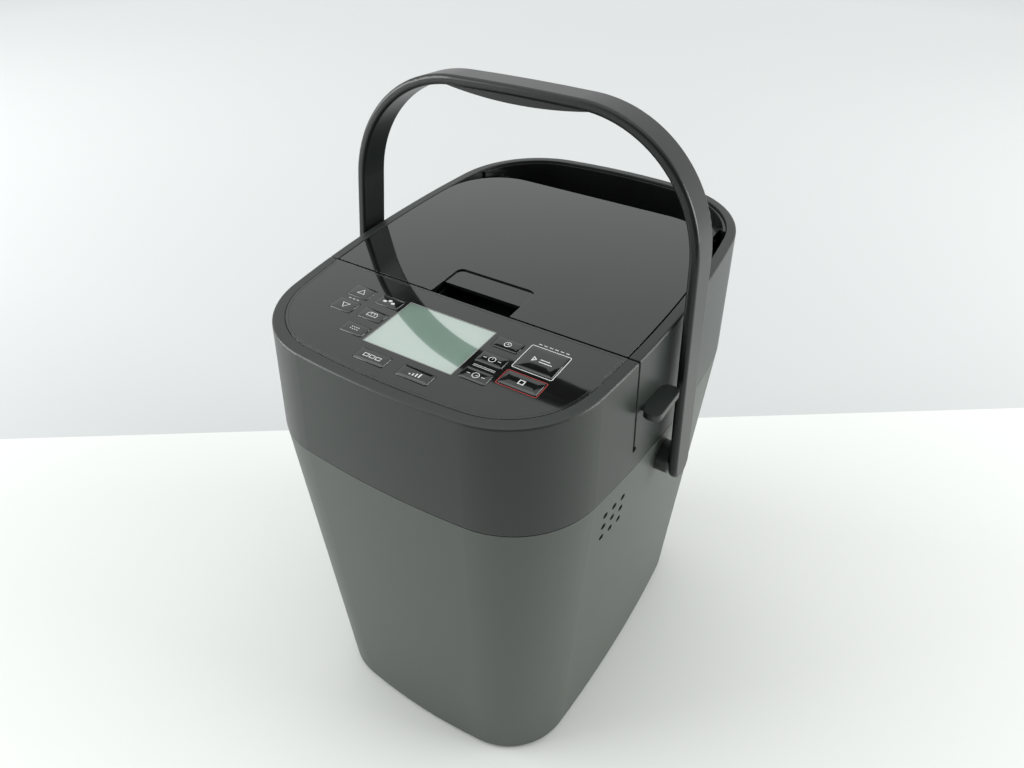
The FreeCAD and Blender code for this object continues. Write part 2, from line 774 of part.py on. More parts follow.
def arch_points(inset):
    """Corner-circle and tangent points of the handle's outline, moved inwards by an inset."""
    lean = math.radians(value_of("handle_leg_lean"))
    foot = Vector(value_of("handle_foot_half_width"), 0, 0)
    along = Vector(-math.sin(lean), math.cos(lean), 0)
    inward = Vector(-math.cos(lean), -math.sin(lean), 0)
    bow = value_of("handle_crown_bow")
    corner = value_of("handle_corner")
    crown = Vector(0, value_of("handle_rise") - bow, 0)
    start = foot + inward * corner - crown
    half = start.dot(along)
    step = -half + math.sqrt(half ** 2 - start.dot(start) + (bow - corner) ** 2)
    centre = foot + inward * corner + along * step
    return crown, centre, foot + inward * inset, along, step


def draw_arch(sketch, inset):
    """One closed outline of the handle: two leaning legs, two corners and a shallow crown."""
    depth = value_of(inset)
    crown, centre, foot, along, step = arch_points(depth)
    bow = value_of("handle_crown_bow") - depth
    corner = value_of("handle_corner") - depth
    low = -value_of("handle_width") / 2
    foot = foot + along * ((low - foot.y) / along.y)
    lean = math.radians(value_of("handle_leg_lean"))
    meet = math.atan2(centre.y - crown.y, centre.x)
    up = Vector(0, 0, 1)
    top = centre + Vector(math.cos(lean), math.sin(lean), 0) * corner

    def mirrored(point):
        return Vector(-point.x, point.y, 0)

    right_corner = Part.ArcOfCircle(Part.Circle(centre, up, corner), lean, meet)
    crown_arc = Part.ArcOfCircle(Part.Circle(crown, up, bow), meet, math.pi - meet)
    left_corner = Part.ArcOfCircle(Part.Circle(mirrored(centre), up, corner),
                                   math.pi - meet, math.pi - lean)
    pieces = [Part.LineSegment(foot, top), right_corner, crown_arc, left_corner,
              Part.LineSegment(mirrored(top), mirrored(foot)),
              Part.LineSegment(mirrored(foot), foot)]
    leg, turn, arc, turn_2, leg_2, foot_line = [sketch.addGeometry(item, False) for item in pieces]
    for first, second in ((leg, turn), (turn, arc), (arc, turn_2), (turn_2, leg_2)):
        sketch.addConstraint(Sketcher.Constraint("Tangent", first, 2, second, 1))
    sketch.addConstraint(Sketcher.Constraint("Coincident", leg_2, 2, foot_line, 1))
    sketch.addConstraint(Sketcher.Constraint("Coincident", foot_line, 2, leg, 1))
    hold(sketch, "Radius", arc, text=f"handle_crown_bow - ({inset})")
    hold_point(sketch, arc, 3, "0", "handle_rise - handle_crown_bow")
    hold(sketch, "Radius", turn, text=f"handle_corner - ({inset})")
    sketch.addConstraint(Sketcher.Constraint("Equal", turn, turn_2))
    foot_x = (f"handle_foot_half_width - ({inset}) / cos(handle_leg_lean)"
              " + handle_width / 2 * tan(handle_leg_lean)")
    hold_point(sketch, foot_line, 2, foot_x, "-handle_width / 2")
    hold_point(sketch, foot_line, 1, f"-({foot_x})", "-handle_width / 2")
    hold(sketch, "Angle", -2, 1, leg, 1, text="handle_leg_lean")
    hold(sketch, "Angle", -2, 1, leg_2, 2, text="-handle_leg_lean")


def lean_handle(body):
    """Move a body from the handle's own flat frame to its place, leaning back."""
    body.Placement = Placement(Vector(), Rotation(Vector(-1, 0, 0), value_of("handle_lean")))
    bind(body, "Placement.Rotation.Angle", "handle_lean")
    return place(body, "0", "pivot_y", "pivot_z")


def carrying_handle():
    """Bail that stands over the lid and folds down behind the machine."""
    body = new_body("carrying_handle")
    outside = new_sketch(body, "XZ_Plane", "0")
    draw_arch(outside, "0")
    pad(body, outside, "handle_width", middle=True)
    inside = new_sketch(body, "XZ_Plane", "0")
    draw_arch(inside, "handle_thickness")
    strap = pocket(body, inside, "handle_width + 2", middle=True)
    low = -value_of("handle_width") / 2
    ends = round_edges(body, strap, "handle_width / 2 - 0.1",
                       lambda edge: edge.BoundBox.ZMax < low + 0.6 and edge.BoundBox.YLength < 0.01)
    half = value_of("handle_width") / 2
    edges = round_edges(body, ends, "handle_edge",
                        lambda edge: abs(abs(edge.CenterOfMass.y) - half) < 0.01
                        and edge.BoundBox.YLength < 0.01)
    holes = new_sketch(body, "YZ_Plane", "0")
    draw_circle(holes, "0", "0", "pivot_pin + running_fit")
    pocket(body, holes, "2 * (pin_reach + 0.4)", middle=True)
    return node("carrying_handle", lean_handle(body))


def handle_grip():
    """Insert under the crown that swells downwards and makes the grip deeper for the hand."""
    body = new_body("handle_grip")
    lens = new_sketch(body, "XZ_Plane", "0")
    under_strap = "handle_crown_bow - handle_thickness - grip_fit"
    strap_centre = "handle_rise - handle_crown_bow"
    swell_centre = "handle_rise - handle_thickness - grip_depth + grip_bow"
    above, below = value_of(under_strap), value_of("grip_bow")
    high, low = value_of(swell_centre), value_of(strap_centre)
    level = (above ** 2 - below ** 2 + high ** 2 - low ** 2) / (2 * (high - low))
    half = math.sqrt(above ** 2 - (level - low) ** 2)
    top_angle = math.atan2(level - low, half)
    swell_angle = math.atan2(level - high, half)
    crown = sketch_arc(lens, Vector(0, low, 0), above, top_angle, math.pi - top_angle)
    swell = sketch_arc(lens, Vector(0, high, 0), below, -math.pi - swell_angle, swell_angle)
    lens.addConstraint(Sketcher.Constraint("Coincident", crown, 1, swell, 2))
    lens.addConstraint(Sketcher.Constraint("Coincident", crown, 2, swell, 1))
    hold(lens, "Radius", crown, text=under_strap)
    hold(lens, "Radius", swell, text="grip_bow")
    hold_point(lens, crown, 3, "0", strap_centre)
    hold_point(lens, swell, 3, "0", swell_centre)
    pad(body, lens, "grip_width", middle=True)
    return node("handle_grip", lean_handle(body))


# ---------------------------------------------------------------- control panel
KEYS = {  # name: column, row, width, depth
    "key_up": ("arrow_column", "row_1", "arrow_width", "arrow_depth"),
    "key_down": ("arrow_column", "row_2", "arrow_width", "arrow_depth"),
    "key_raisin": ("left_column", "row_1", "key_width", "key_depth"),
    "key_crust": ("left_column", "row_2", "key_width", "key_depth"),
    "key_yeast": ("left_column", "row_3", "key_width", "key_depth"),
    "key_process": ("process_column", "row_4", "long_key_width", "key_depth"),
    "key_level": ("level_column", "row_4", "long_key_width", "key_depth"),
    "key_timer": ("right_column", "row_1", "key_width", "key_depth"),
    "key_hour": ("right_column", "row_2", "key_width", "key_depth"),
    "key_minute": ("right_column", "row_3", "key_width", "key_depth"),
    "key_start": ("start_column", "start_row", "start_width", "start_depth"),
    "key_cancel": ("start_column", "cancel_row", "start_width", "cancel_depth"),
}


def draw_key(sketch, column, row, width, depth, grow="0"):
    """The rounded outline of a key, made larger all round by an amount."""
    draw_rectangle(sketch, f"{column} - {width} / 2 - ({grow})", f"{column} + {width} / 2 + ({grow})",
                   f"{row} - {depth} / 2 - ({grow})", f"{row} + {depth} / 2 + ({grow})",
                   f"key_corner + ({grow})")


def cut_key_holes(body, start, depth):
    """Openings for all keys through a plate."""
    holes = new_sketch(body, "XY_Plane", start)
    for column, row, width, length in KEYS.values():
        draw_key(holes, column, row, width, length, "key_gap")
    pocket(body, holes, depth)


def cut_beyond(body, y, front):
    """Take away everything in front of a line across the deck, or behind it."""
    slab = new_sketch(body, "XY_Plane", "60")
    far = "(seam_rear + 60)"
    low, high = (f"-{far}", y) if front else (y, far)
    draw_rectangle(slab, "-2 * seam_half_width", "2 * seam_half_width", low, high)
    pocket(body, slab, "160")


def control_panel():
    """Plastic panel that carries the film, the display window and the keys."""
    body = new_body("control_panel")
    pad(body, casing_outline(body, "rim", "-panel_thickness", "rim_width + fit"),
        "panel_thickness")
    cut_beyond(body, "panel_rear", front=False)
    tray = casing_outline(body, "rim", "0", "rim_width + fit + panel_border")
    pocket(body, tray, "film_thickness")
    border = new_sketch(body, "XY_Plane", "-film_thickness")
    draw_rectangle(border, "panel_border + rim_width + fit - rim_half_width",
                   "rim_half_width - rim_width - fit - panel_border",
                   "panel_rear - panel_border", "panel_rear")
    pad(body, border, "film_thickness")
    skirt = new_sketch(body, "XY_Plane", "-panel_thickness")
    draw_rectangle(skirt, "-skirt_half_width", "skirt_half_width",
                   "panel_rear - skirt_thickness", "panel_rear")
    pad(body, skirt, "skirt_depth - panel_thickness", down=True)
    lens = new_sketch(body, "XY_Plane", "0")
    draw_rectangle(lens, "-lcd_width / 2 - 0.2", "lcd_width / 2 + 0.2",
                   "lcd_y - lcd_depth / 2 - 0.2", "lcd_y + lcd_depth / 2 + 0.2")
    pocket(body, lens, "lcd_lens + 0.2")
    view = new_sketch(body, "XY_Plane", "0")
    draw_rectangle(view, "lcd_frame - lcd_width / 2", "lcd_width / 2 - lcd_frame",
                   "lcd_y - lcd_depth / 2 + lcd_frame", "lcd_y + lcd_depth / 2 - lcd_frame")
    pocket(body, view, "panel_thickness + 1")
    cut_key_holes(body, "1", "panel_thickness + 2")
    bosses = new_sketch(body, "XY_Plane", "-panel_thickness")
    for side in (-1, 1):
        draw_circle(bosses, f"{side} * (board_half_width - 6)", "board_rear - 3.6", "3")
        draw_circle(bosses, f"{side} * (board_half_width - board_corner - 4)", "board_front + 6", "3")
    pad(body, bosses, BOARD_TOP_DEPTH + " - panel_thickness", down=True)
    return node("control_panel", place_on_deck(body))


FLANGE_TOP_DEPTH = "panel_thickness + key_gap"
KEY_BOTTOM_DEPTH = FLANGE_TOP_DEPTH + " + key_flange_thickness"
BOARD_TOP_DEPTH = KEY_BOTTOM_DEPTH + " + key_travel + key_gap + switch_height"


def panel_film():
    """Thin glossy film inside the panel's raised border."""
    body = new_body("panel_film")
    pad(body, casing_outline(body, "rim", "-film_thickness", "rim_width + fit + panel_border + 0.1"),
        "film_thickness - 0.02")
    cut_beyond(body, "panel_rear - panel_border - 0.1", front=False)
    window = new_sketch(body, "XY_Plane", "1")
    draw_rectangle(window, "-lcd_width / 2 - 0.2", "lcd_width / 2 + 0.2",
                   "lcd_y - lcd_depth / 2 - 0.2", "lcd_y + lcd_depth / 2 + 0.2")
    pocket(body, window, "3")
    cut_key_holes(body, "1", "3")
    return node("panel_film", place_on_deck(body))


def lcd_window():
    """Clear window of the display, flush with the film."""
    body = new_body("lcd_window")
    sketch = new_sketch(body, "XY_Plane", "-0.1")
    draw_rectangle(sketch, "-lcd_width / 2", "lcd_width / 2", "lcd_y - lcd_depth / 2",
                   "lcd_y + lcd_depth / 2")
    pad(body, sketch, "lcd_lens", down=True)
    return node("lcd_window", place_on_deck(body))


def lcd_module():
    """Display module between the panel and the control board."""
    module = box("-lcd_width / 2 - 2", "lcd_width / 2 + 2", "lcd_y - lcd_depth / 2 - 1.5",
                 "lcd_y + lcd_depth / 2 + 1.5", f"-({BOARD_TOP_DEPTH}) + 0.1",
                 "-panel_thickness - 0.1", deck=True)
    hollow = [box(f"{column} - {width} / 2 - 2", f"{column} + {width} / 2 + 2",
                  f"{row} - {depth} / 2 - 2", f"{row} + {depth} / 2 + 2",
                  f"-({BOARD_TOP_DEPTH}) - 1", "0", deck=True)
              for column, row, width, depth in (KEYS["key_process"], KEYS["key_hour"],
                                                KEYS["key_crust"])]
    return node("lcd_module", cut(module, *hollow))


def control_board():
    """Circuit board under the panel with one small switch below each key."""
    body = new_body("control_board")
    plate = new_sketch(body, "XY_Plane", f"-({BOARD_TOP_DEPTH})")
    draw_polygon(plate, [("-board_half_width", "board_rear"),
                         ("-board_half_width", "board_front + board_corner"),
                         ("board_corner - board_half_width", "board_front"),
                         ("board_half_width - board_corner", "board_front"),
                         ("board_half_width", "board_front + board_corner"),
                         ("board_half_width", "board_rear")])
    pad(body, plate, "board_thickness", down=True)
    switches = new_sketch(body, "XY_Plane", f"-({BOARD_TOP_DEPTH})")
    for column, row, _, _ in KEYS.values():
        draw_rectangle(switches, f"{column} - switch_size / 2", f"{column} + switch_size / 2",
                       f"{row} - switch_size / 2", f"{row} + switch_size / 2")
    pad(body, switches, "switch_height")
    return node("control_board", place_on_deck(body))


def key(label, column, row, width, depth):
    """One key: a cap through the panel with a flange that keeps it in."""
    body = new_body(label)
    cap = new_sketch(body, "XY_Plane", f"-({KEY_BOTTOM_DEPTH})")
    draw_key(cap, column, row, width, depth)
    pad(body, cap, f"{KEY_BOTTOM_DEPTH} + key_stand")
    flange = new_sketch(body, "XY_Plane", f"-({KEY_BOTTOM_DEPTH})")
    draw_key(flange, column, row, width, depth, "key_flange")
    pad(body, flange, "key_flange_thickness")
    return node(label, place_on_deck(body))


# ---------------------------------------------------------------- lid
def trim_rear_corners(body, inset, start="1", depth="frame_depth + 5"):
    """Round the two rear corners, so that the lid swings up clear of the rim."""
    sketch = new_sketch(body, "XY_Plane", start)
    radius, edge = f"(lid_corner - ({inset}))", "lid_rear - (" + inset + ")"
    beyond = "lid_rear + 10"
    for side in (1, -1):
        centre_x = f"{side} * (lid_corner_x - lid_corner)"
        outer_x = f"{side} * (lid_corner_x - ({inset}))"
        far_x = f"{side} * (lid_corner_x + 20)"
        cx, cy = value_of(centre_x), value_of("lid_rear - lid_corner")
        reach = value_of(radius)
        circle = Part.Circle(Vector(cx, cy, 0), Vector(0, 0, 1), reach)
        start_angle, end_angle = (0, math.pi / 2) if side > 0 else (math.pi / 2, math.pi)
        arc = sketch.addGeometry(Part.ArcOfCircle(circle, start_angle, end_angle), False)
        side_end, rear_end = (1, 2) if side > 0 else (2, 1)
        on_side = sketch.Geometry[arc].StartPoint if side > 0 else sketch.Geometry[arc].EndPoint
        on_rear = sketch.Geometry[arc].EndPoint if side > 0 else sketch.Geometry[arc].StartPoint
        far, back = value_of(far_x), value_of(beyond)
        corners = [on_rear, Vector(on_rear.x, back, 0), Vector(far, back, 0),
                   Vector(far, on_side.y, 0), on_side]
        lines = [sketch.addGeometry(Part.LineSegment(a, b), False)
                 for a, b in zip(corners, corners[1:])]
        sketch.addConstraint(Sketcher.Constraint("Coincident", arc, rear_end, lines[0], 1))
        for first, second in zip(lines, lines[1:]):
            sketch.addConstraint(Sketcher.Constraint("Coincident", first, 2, second, 1))
        sketch.addConstraint(Sketcher.Constraint("Coincident", lines[3], 2, arc, side_end))
        for index, kind in enumerate(("Vertical", "Horizontal", "Vertical", "Horizontal")):
            sketch.addConstraint(Sketcher.Constraint(kind, lines[index]))
        hold_point(sketch, arc, 3, centre_x, "lid_rear - lid_corner")
        hold(sketch, "Radius", arc, text=radius)
        hold(sketch, "DistanceX", -1, 1, arc, rear_end, text=centre_x)
        hold(sketch, "DistanceY", -1, 1, arc, side_end, text="lid_rear - lid_corner")
        hold(sketch, "DistanceY", -1, 1, lines[1], 1, text=beyond)
        hold(sketch, "DistanceX", -1, 1, lines[2], 1, text=far_x)
    pocket(body, sketch, depth)


def lid_panel():
    """Glossy top plate of the lid, with a notch for the finger grip."""
    body = new_body("lid_panel")
    pad(body, casing_outline(body, "rim", "-lid_skin", "lid_inset"), "lid_skin")
    cut_beyond(body, "lid_front", front=True)
    cut_beyond(body, "lid_rear", front=False)
    trim_rear_corners(body, "0")
    notch = new_sketch(body, "XY_Plane", "1")
    draw_rectangle(notch, "-notch_half_width", "notch_half_width", "lid_front - 20", "notch_rear",
                   "notch_corner")
    pocket(body, notch, "lid_skin + 2")
    return node("lid_panel", place_on_deck(body))


def lid_frame():
    """Moulded tray under the lid's top plate, with the two hinge ears at the rear."""
    body = new_body("lid_frame")
    pad(body, casing_outline(body, "rim", "-frame_depth", "frame_inset"), "frame_depth - lid_skin")
    tray = casing_outline(body, "rim", "-lid_skin", "frame_inset + frame_wall")
    inner = pocket(body, tray, "frame_depth - lid_skin - frame_wall")
    cut_beyond(body, "lid_front + 2", front=True)
    cut_beyond(body, "lid_rear - 1.8", front=False)
    walls = new_sketch(body, "XY_Plane", "-lid_skin")
    edge = "(rim_half_width - frame_inset - 4)"
    draw_rectangle(walls, f"-{edge}", edge, "lid_front + 2", "lid_front + 2 + frame_wall")
    draw_rectangle(walls, f"4 - {edge}", f"{edge} - 4", "lid_rear - 1.8 - frame_wall",
                   "lid_rear - 1.8")
    pad(body, walls, "frame_depth - lid_skin", down=True)
    trim_rear_corners(body, "1.8")
    cup = new_sketch(body, "XY_Plane", "1")
    draw_rectangle(cup, "-notch_half_width - fit", "notch_half_width + fit", "lid_front - 5",
                   "notch_rear + fit")
    pocket(body, cup, "cup_depth + fit + 1")
    wells = new_sketch(body, "XY_Plane", "0")
    for left, right, rear in (("dispenser_left", "dispenser_right", "dispenser_rear"),
                              ("yeast_left", "yeast_right", "yeast_rear")):
        draw_rectangle(wells, f"{left} - fit", f"{right} + fit", "dispenser_front - fit",
                       f"{rear} + fit")
    pocket(body, wells, "frame_depth + 1")
    ears = new_sketch(body, "YZ_Plane", "0")
    draw_rectangle(ears, "lid_rear - 2.5", "hinge_y + hinge_ear", "-hinge_depth - hinge_ear",
                   "-hinge_depth + hinge_ear", "hinge_ear - 0.1")
    lugs = pad(body, ears, "2 * ear_outer", middle=True)
    between = new_sketch(body, "YZ_Plane", "0")
    draw_rectangle(between, "lid_rear - 1.8", "hinge_y + hinge_ear + 5", "-frame_depth - 5",
                   "-lid_skin + 2")
    pocket(body, between, "2 * ear_inner", middle=True)
    bores = new_sketch(body, "YZ_Plane", "0")
    draw_circle(bores, "hinge_y", "-hinge_depth", "hinge_pin + running_fit")
    pocket(body, bores, "3 * ear_outer", middle=True)
    return node("lid_frame", place_on_deck(body))


def lid_grip():
    """Cup in the lid's notch: a flap to pull on, with room for the fingers in front and below."""
    body = new_body("lid_grip")
    outer = new_sketch(body, "XY_Plane", "-grip_sink")
    draw_rectangle(outer, "-notch_half_width + 0.3", "notch_half_width - 0.3", "lid_front + 0.2",
                   "notch_rear - 0.3", "notch_corner - 0.3")
    pad(body, outer, "cup_depth - grip_sink", down=True)
    hollow = new_sketch(body, "XY_Plane", "-grip_sink - 2.2")
    draw_rectangle(hollow, "-notch_half_width + 0.3 + cup_wall", "notch_half_width - 0.3 - cup_wall",
                   "lid_front + 0.2 + cup_wall", "notch_rear - 2.5", "notch_corner - 2")
    pocket(body, hollow, "cup_depth - grip_sink - 2.2 - cup_wall")
    slot = new_sketch(body, "XY_Plane", "1")
    draw_rectangle(slot, "-notch_half_width + 0.3 + cup_wall", "notch_half_width - 0.3 - cup_wall",
                   "lid_front + 0.2 + cup_wall", "grip_flap_front", "notch_corner - 2")
    pocket(body, slot, "grip_sink + 5")
    mouth = new_sketch(body, "XY_Plane", "1")
    draw_rectangle(mouth, "-notch_half_width", "notch_half_width", "lid_front - 5",
                   "grip_flap_front")
    pocket(body, mouth, "grip_sink + mouth_sink + 1")
    return node("lid_grip", place_on_deck(body))


def lid_plate():
    """Metal heat plate on the underside of the lid."""
    body = new_body("lid_plate")
    sheet_metal = new_sketch(body, "XY_Plane", "-frame_depth")
    draw_rectangle(sheet_metal, "-plate_half_width", "plate_half_width", "plate_front",
                   "plate_rear", "plate_corner")
    pad(body, sheet_metal, "plate_thickness", down=True)
    wells = new_sketch(body, "XY_Plane", "0")
    for left, right, rear in (("dispenser_left", "dispenser_right", "dispenser_rear"),
                              ("yeast_left", "yeast_right", "yeast_rear")):
        draw_rectangle(wells, f"{left} - fit", f"{right} + fit", "dispenser_front - fit",
                       f"{rear} + fit")
    pocket(body, wells, "frame_depth + 5")
    return node("lid_plate", place_on_deck(body))


def lid_seal():
    """Silicone ring that closes the gap between the lid and the chamber's mouth."""
    body = new_body("lid_seal")
    start = "-frame_depth - plate_thickness"
    outer = new_sketch(body, "XY_Plane", start)
    draw_rectangle(outer, "-seal_half_width", "seal_half_width", "seal_front", "seal_rear",
                   "plate_corner - 2")
    pad(body, outer, "seal_height", down=True)
    inner = new_sketch(body, "XY_Plane", "0")
    draw_rectangle(inner, "seal_width - seal_half_width", "seal_half_width - seal_width",
                   "seal_front + seal_width", "seal_rear - seal_width",
                   "plate_corner - 2 - seal_width")
    pocket(body, inner, "frame_depth + plate_thickness + seal_height + 2")
    return node("lid_seal", place_on_deck(body))


def dispenser(label, left, right, rear):
    """Box in the lid, closed below by a flap that hangs on a pin in two lugs."""
    front, bottom = "dispenser_front", "-dispenser_bottom"
    shell = box(left, right, front, rear, bottom, "-dispenser_top", deck=True)
    hollow = box(f"{left} + dispenser_wall", f"{right} - dispenser_wall",
                 f"{front} + dispenser_wall", f"{rear} - dispenser_wall",
                 f"{bottom} - 1", "-dispenser_top - dispenser_wall", deck=True)
    pin_y, pin_z = f"({front} - flap_lug + 0.4)", f"({bottom} - 1.4)"
    pieces = [shell]
    for inner, outer in ((f"{left} + 3", f"{left} + 3 + flap_lug_thickness"),
                         (f"{right} - 3 - flap_lug_thickness", f"{right} - 3")):
        pieces.append(box(inner, outer, f"{pin_y} - flap_lug + 0.6", f"{front} + dispenser_wall",
                          f"{pin_z} - 1.9", f"{bottom} + 8", deck=True))
    bore = cylinder(f"{left} - 5", pin_y, pin_z, "flap_pin + running_fit",
                    f"({right}) - ({left}) + 10", "x", deck=True)
    relief = box(f"{left} - 1", f"{right} + 1", f"{front} + 0.01", f"{rear} + 1",
                 f"{bottom} - 8", bottom, deck=True)
    box_piece = node(f"{label}_box", cut(fuse(*pieces), hollow, bore, relief))

    plate = box(f"{left} + 0.4", f"{right} - 0.4", f"{front} + 0.4", f"{rear} - 0.4",
                f"{bottom} - 0.4 - flap_thickness", f"{bottom} - 0.4", deck=True)
    inner_left, inner_right = f"{left} + 3.4 + flap_lug_thickness", f"{right} - 3.4 - flap_lug_thickness"
    barrel = cylinder(inner_left, pin_y, pin_z, "1.7", f"({inner_right}) - ({inner_left})", "x",
                      deck=True)
    arm = box(inner_left, inner_right, pin_y, f"{front} + 2", f"{pin_z} - 0.7", f"{pin_z} + 0.7",
              deck=True)
    pin = cylinder(f"{left} + 3.2", pin_y, pin_z, "flap_pin", f"({right}) - ({left}) - 6.4", "x",
                   deck=True)
    notch = [box(f"{a} - 0.4", f"{b} + 0.4", f"{front} - 2", f"{front} + dispenser_wall + 0.6",
                 f"{bottom} - 8", bottom, deck=True)
             for a, b in ((f"{left} + 3", f"{left} + 3 + flap_lug_thickness"),
                          (f"{right} - 3 - flap_lug_thickness", f"{right} - 3"))]
    flap = node(f"{label}_flap", fuse(cut(plate, *notch), barrel, arm, pin))
    return box_piece, flap


def flap_solenoid():
    """Coil in the lid that releases the dispensers."""
    floor = "-frame_depth + frame_wall"
    coil = box("-80", "-58", "-22", "-4", floor, f"{floor} + 10", deck=True)
    plunger = cylinder("-58", "-13", f"{floor} + 5", "2", "8", "x", deck=True)
    return node("flap_solenoid", fuse(coil, plunger))


# ---------------------------------------------------------------- rear of the deck
def hinge_cover():
    """Recessed tray behind the lid with the hinge bosses and the steam slots."""
    body = new_body("hinge_cover")
    pad(body, casing_outline(body, "rim", "-cover_floor", "rim_width + fit"), "cover_floor - 1.5")
    cut_beyond(body, "cover_front", front=True)
    tray = casing_outline(body, "rim", "0", "rim_width + fit + cover_wall")
    pocket(body, tray, "cover_floor - cover_wall")
    for side in (-1, 1):
        bosses = new_sketch(body, "YZ_Plane", f"{side} * (ear_outer + 0.5)")
        draw_rectangle(bosses, "cover_front", "hinge_y + 7.5", "-cover_floor", "-hinge_depth + 5")
        pad(body, bosses, "hinge_boss_outer - ear_outer - 0.5", down=side < 0)
    bores = new_sketch(body, "YZ_Plane", "0")
    draw_circle(bores, "hinge_y", "-hinge_depth", "hinge_pin + seat_fit")
    pocket(body, bores, "2 * (hinge_boss_outer + 1)", middle=True)
    slots = new_sketch(body, "XY_Plane", "0")
    for turn in range(-4, 5):
        draw_rectangle(slots, f"{turn} * steam_slot_pitch - steam_slot_width / 2",
                       f"{turn} * steam_slot_pitch + steam_slot_width / 2",
                       "cover_front + 12", "cover_front + 12 + steam_slot_length",
                       "steam_slot_width / 2 - 0.05")
    pocket(body, slots, "cover_floor + 5")
    return node("hinge_cover", place_on_deck(body))


def hinge_pins():
    """Two short steel pins on which the lid swings."""
    pins = []
    for start in ("ear_inner", "-hinge_boss_outer + 1"):
        pins.append(cylinder(start, "hinge_y", "-hinge_depth", "hinge_pin",
                             "hinge_boss_outer - 1 - ear_inner", "x", deck=True))
    return node("hinge_pins", group(*pins))


def mouth_frame():
    """Plastic frame round the chamber's mouth, seen when the lid is open."""
    body = new_body("mouth_frame")
    pad(body, casing_outline(body, "rim", "-mouth_top - mouth_thickness", "rim_width + fit"),
        "mouth_thickness")
    cut_beyond(body, "mouth_frame_front", front=True)
    cut_beyond(body, "mouth_frame_rear", front=False)
    mouth = new_sketch(body, "XY_Plane", "0")
    draw_rectangle(mouth, "-mouth_half_width", "mouth_half_width", "mouth_front", "mouth_rear",
                   "chamber_corner + 2")
    pocket(body, mouth, "mouth_top + mouth_thickness + 2")
    return node("mouth_frame", place_on_deck(body))


# ---------------------------------------------------------------- baking chamber
def baking_chamber():
    """Sheet-metal chamber with a sloping flange and the seat that locks the pan."""
    def prism(name, shrink, start, end):
        body = new_body(name)
        sketch = new_sketch(body, "XY_Plane", start)
        draw_rectangle(sketch, f"{shrink} - chamber_half_width", f"chamber_half_width - {shrink}",
                       f"drive_y - chamber_half_depth + {shrink}",
                       f"drive_y + chamber_half_depth - {shrink}", f"chamber_corner - {shrink}")
        pad(body, sketch, f"({end}) - ({start})")
        return body

    flange_top = "-mouth_top - mouth_thickness - 0.2"
    tall = prism("chamber_outside", "0", "chamber_floor", "deck_height + 20")
    above = box("-200", "200", "-300", "300", flange_top, "100", deck=True)
    tub = cut(tall, above)
    flange = box("-flange_half_width", "flange_half_width", "flange_front", "flange_rear",
                 f"{flange_top} - chamber_sheet", flange_top, deck=True)
    inside = prism("chamber_inside", "chamber_sheet", "chamber_floor + chamber_sheet",
                   "deck_height + 25")
    shell = cut(fuse(tub, flange), inside)
    floor = "chamber_floor + chamber_sheet"
    seat = cut(cylinder("0", "drive_y", floor, "seat_radius", "seat_height"),
               cylinder("0", "drive_y", f"{floor} - 1", "pan_foot_radius + 0.6", "seat_height + 2"))
    shaft_hole = cylinder("0", "drive_y", "chamber_floor - 2", "shaft_radius + 1.5", "6")
    holes = [cylinder(f"{side} * terminal_x", "drive_y - chamber_half_depth - 4", "heater_level",
                      "heater_tube + heater_sleeve + 0.4", "10", "y") for side in (-1, 1)]
    sensor = cylinder("0", "drive_y + chamber_half_depth - 4", "sensor_level",
                      "sensor_radius + 0.1", "8", "y")
    return node("baking_chamber", cut(fuse(shell, seat), shaft_hole, sensor, *holes))


def heater():
    """Sheathed heating element: a loop round the pan with two terminals through the front wall."""
    def quarter(x, y, start):
        ring = doc.addObject("Part::Torus", "bend")
        bind(ring, "Radius1", "heater_corner")
        bind(ring, "Radius2", "heater_tube")
        ring.Angle3 = 90
        ring.Placement = Placement(Vector(), Rotation(Vector(0, 0, 1), start))
        return place(ring, x, y, "heater_level")

    wide = "(heater_half_width - heater_corner)"
    deep = "(heater_half_depth - heater_corner)"
    pieces = [quarter(wide, f"drive_y + {deep}", 0), quarter(f"-{wide}", f"drive_y + {deep}", 90),
              quarter(f"-{wide}", f"drive_y - {deep}", 180),
              quarter(wide, f"drive_y - {deep}", 270)]
    for side in (-1, 1):
        pieces.append(cylinder(f"-{wide}", f"drive_y + {side} * heater_half_depth", "heater_level",
                               "heater_tube", f"2 * {wide}", "x"))
        pieces.append(cylinder(f"{side} * heater_half_width", f"drive_y - {deep}", "heater_level",
                               "heater_tube", f"2 * {deep}", "y"))
        pieces.append(cylinder(f"{side} * terminal_x", "terminal_reach", "heater_level",
                               "heater_tube + heater_sleeve",
                               "drive_y - heater_half_depth + 1 - terminal_reach", "y"))
    return node("heater", fuse(*pieces))


def temperature_sensor():
    """Thermistor probe through the rear wall of the chamber."""
    wall_y = "drive_y + chamber_half_depth"
    probe = cylinder("0", f"{wall_y} - 6", "sensor_level", "sensor_radius", "14", "y")
    collar = cylinder("0", f"{wall_y} + 0.2", "sensor_level", "sensor_radius + 3", "2", "y")
    return node("temperature_sensor", fuse(probe, collar))


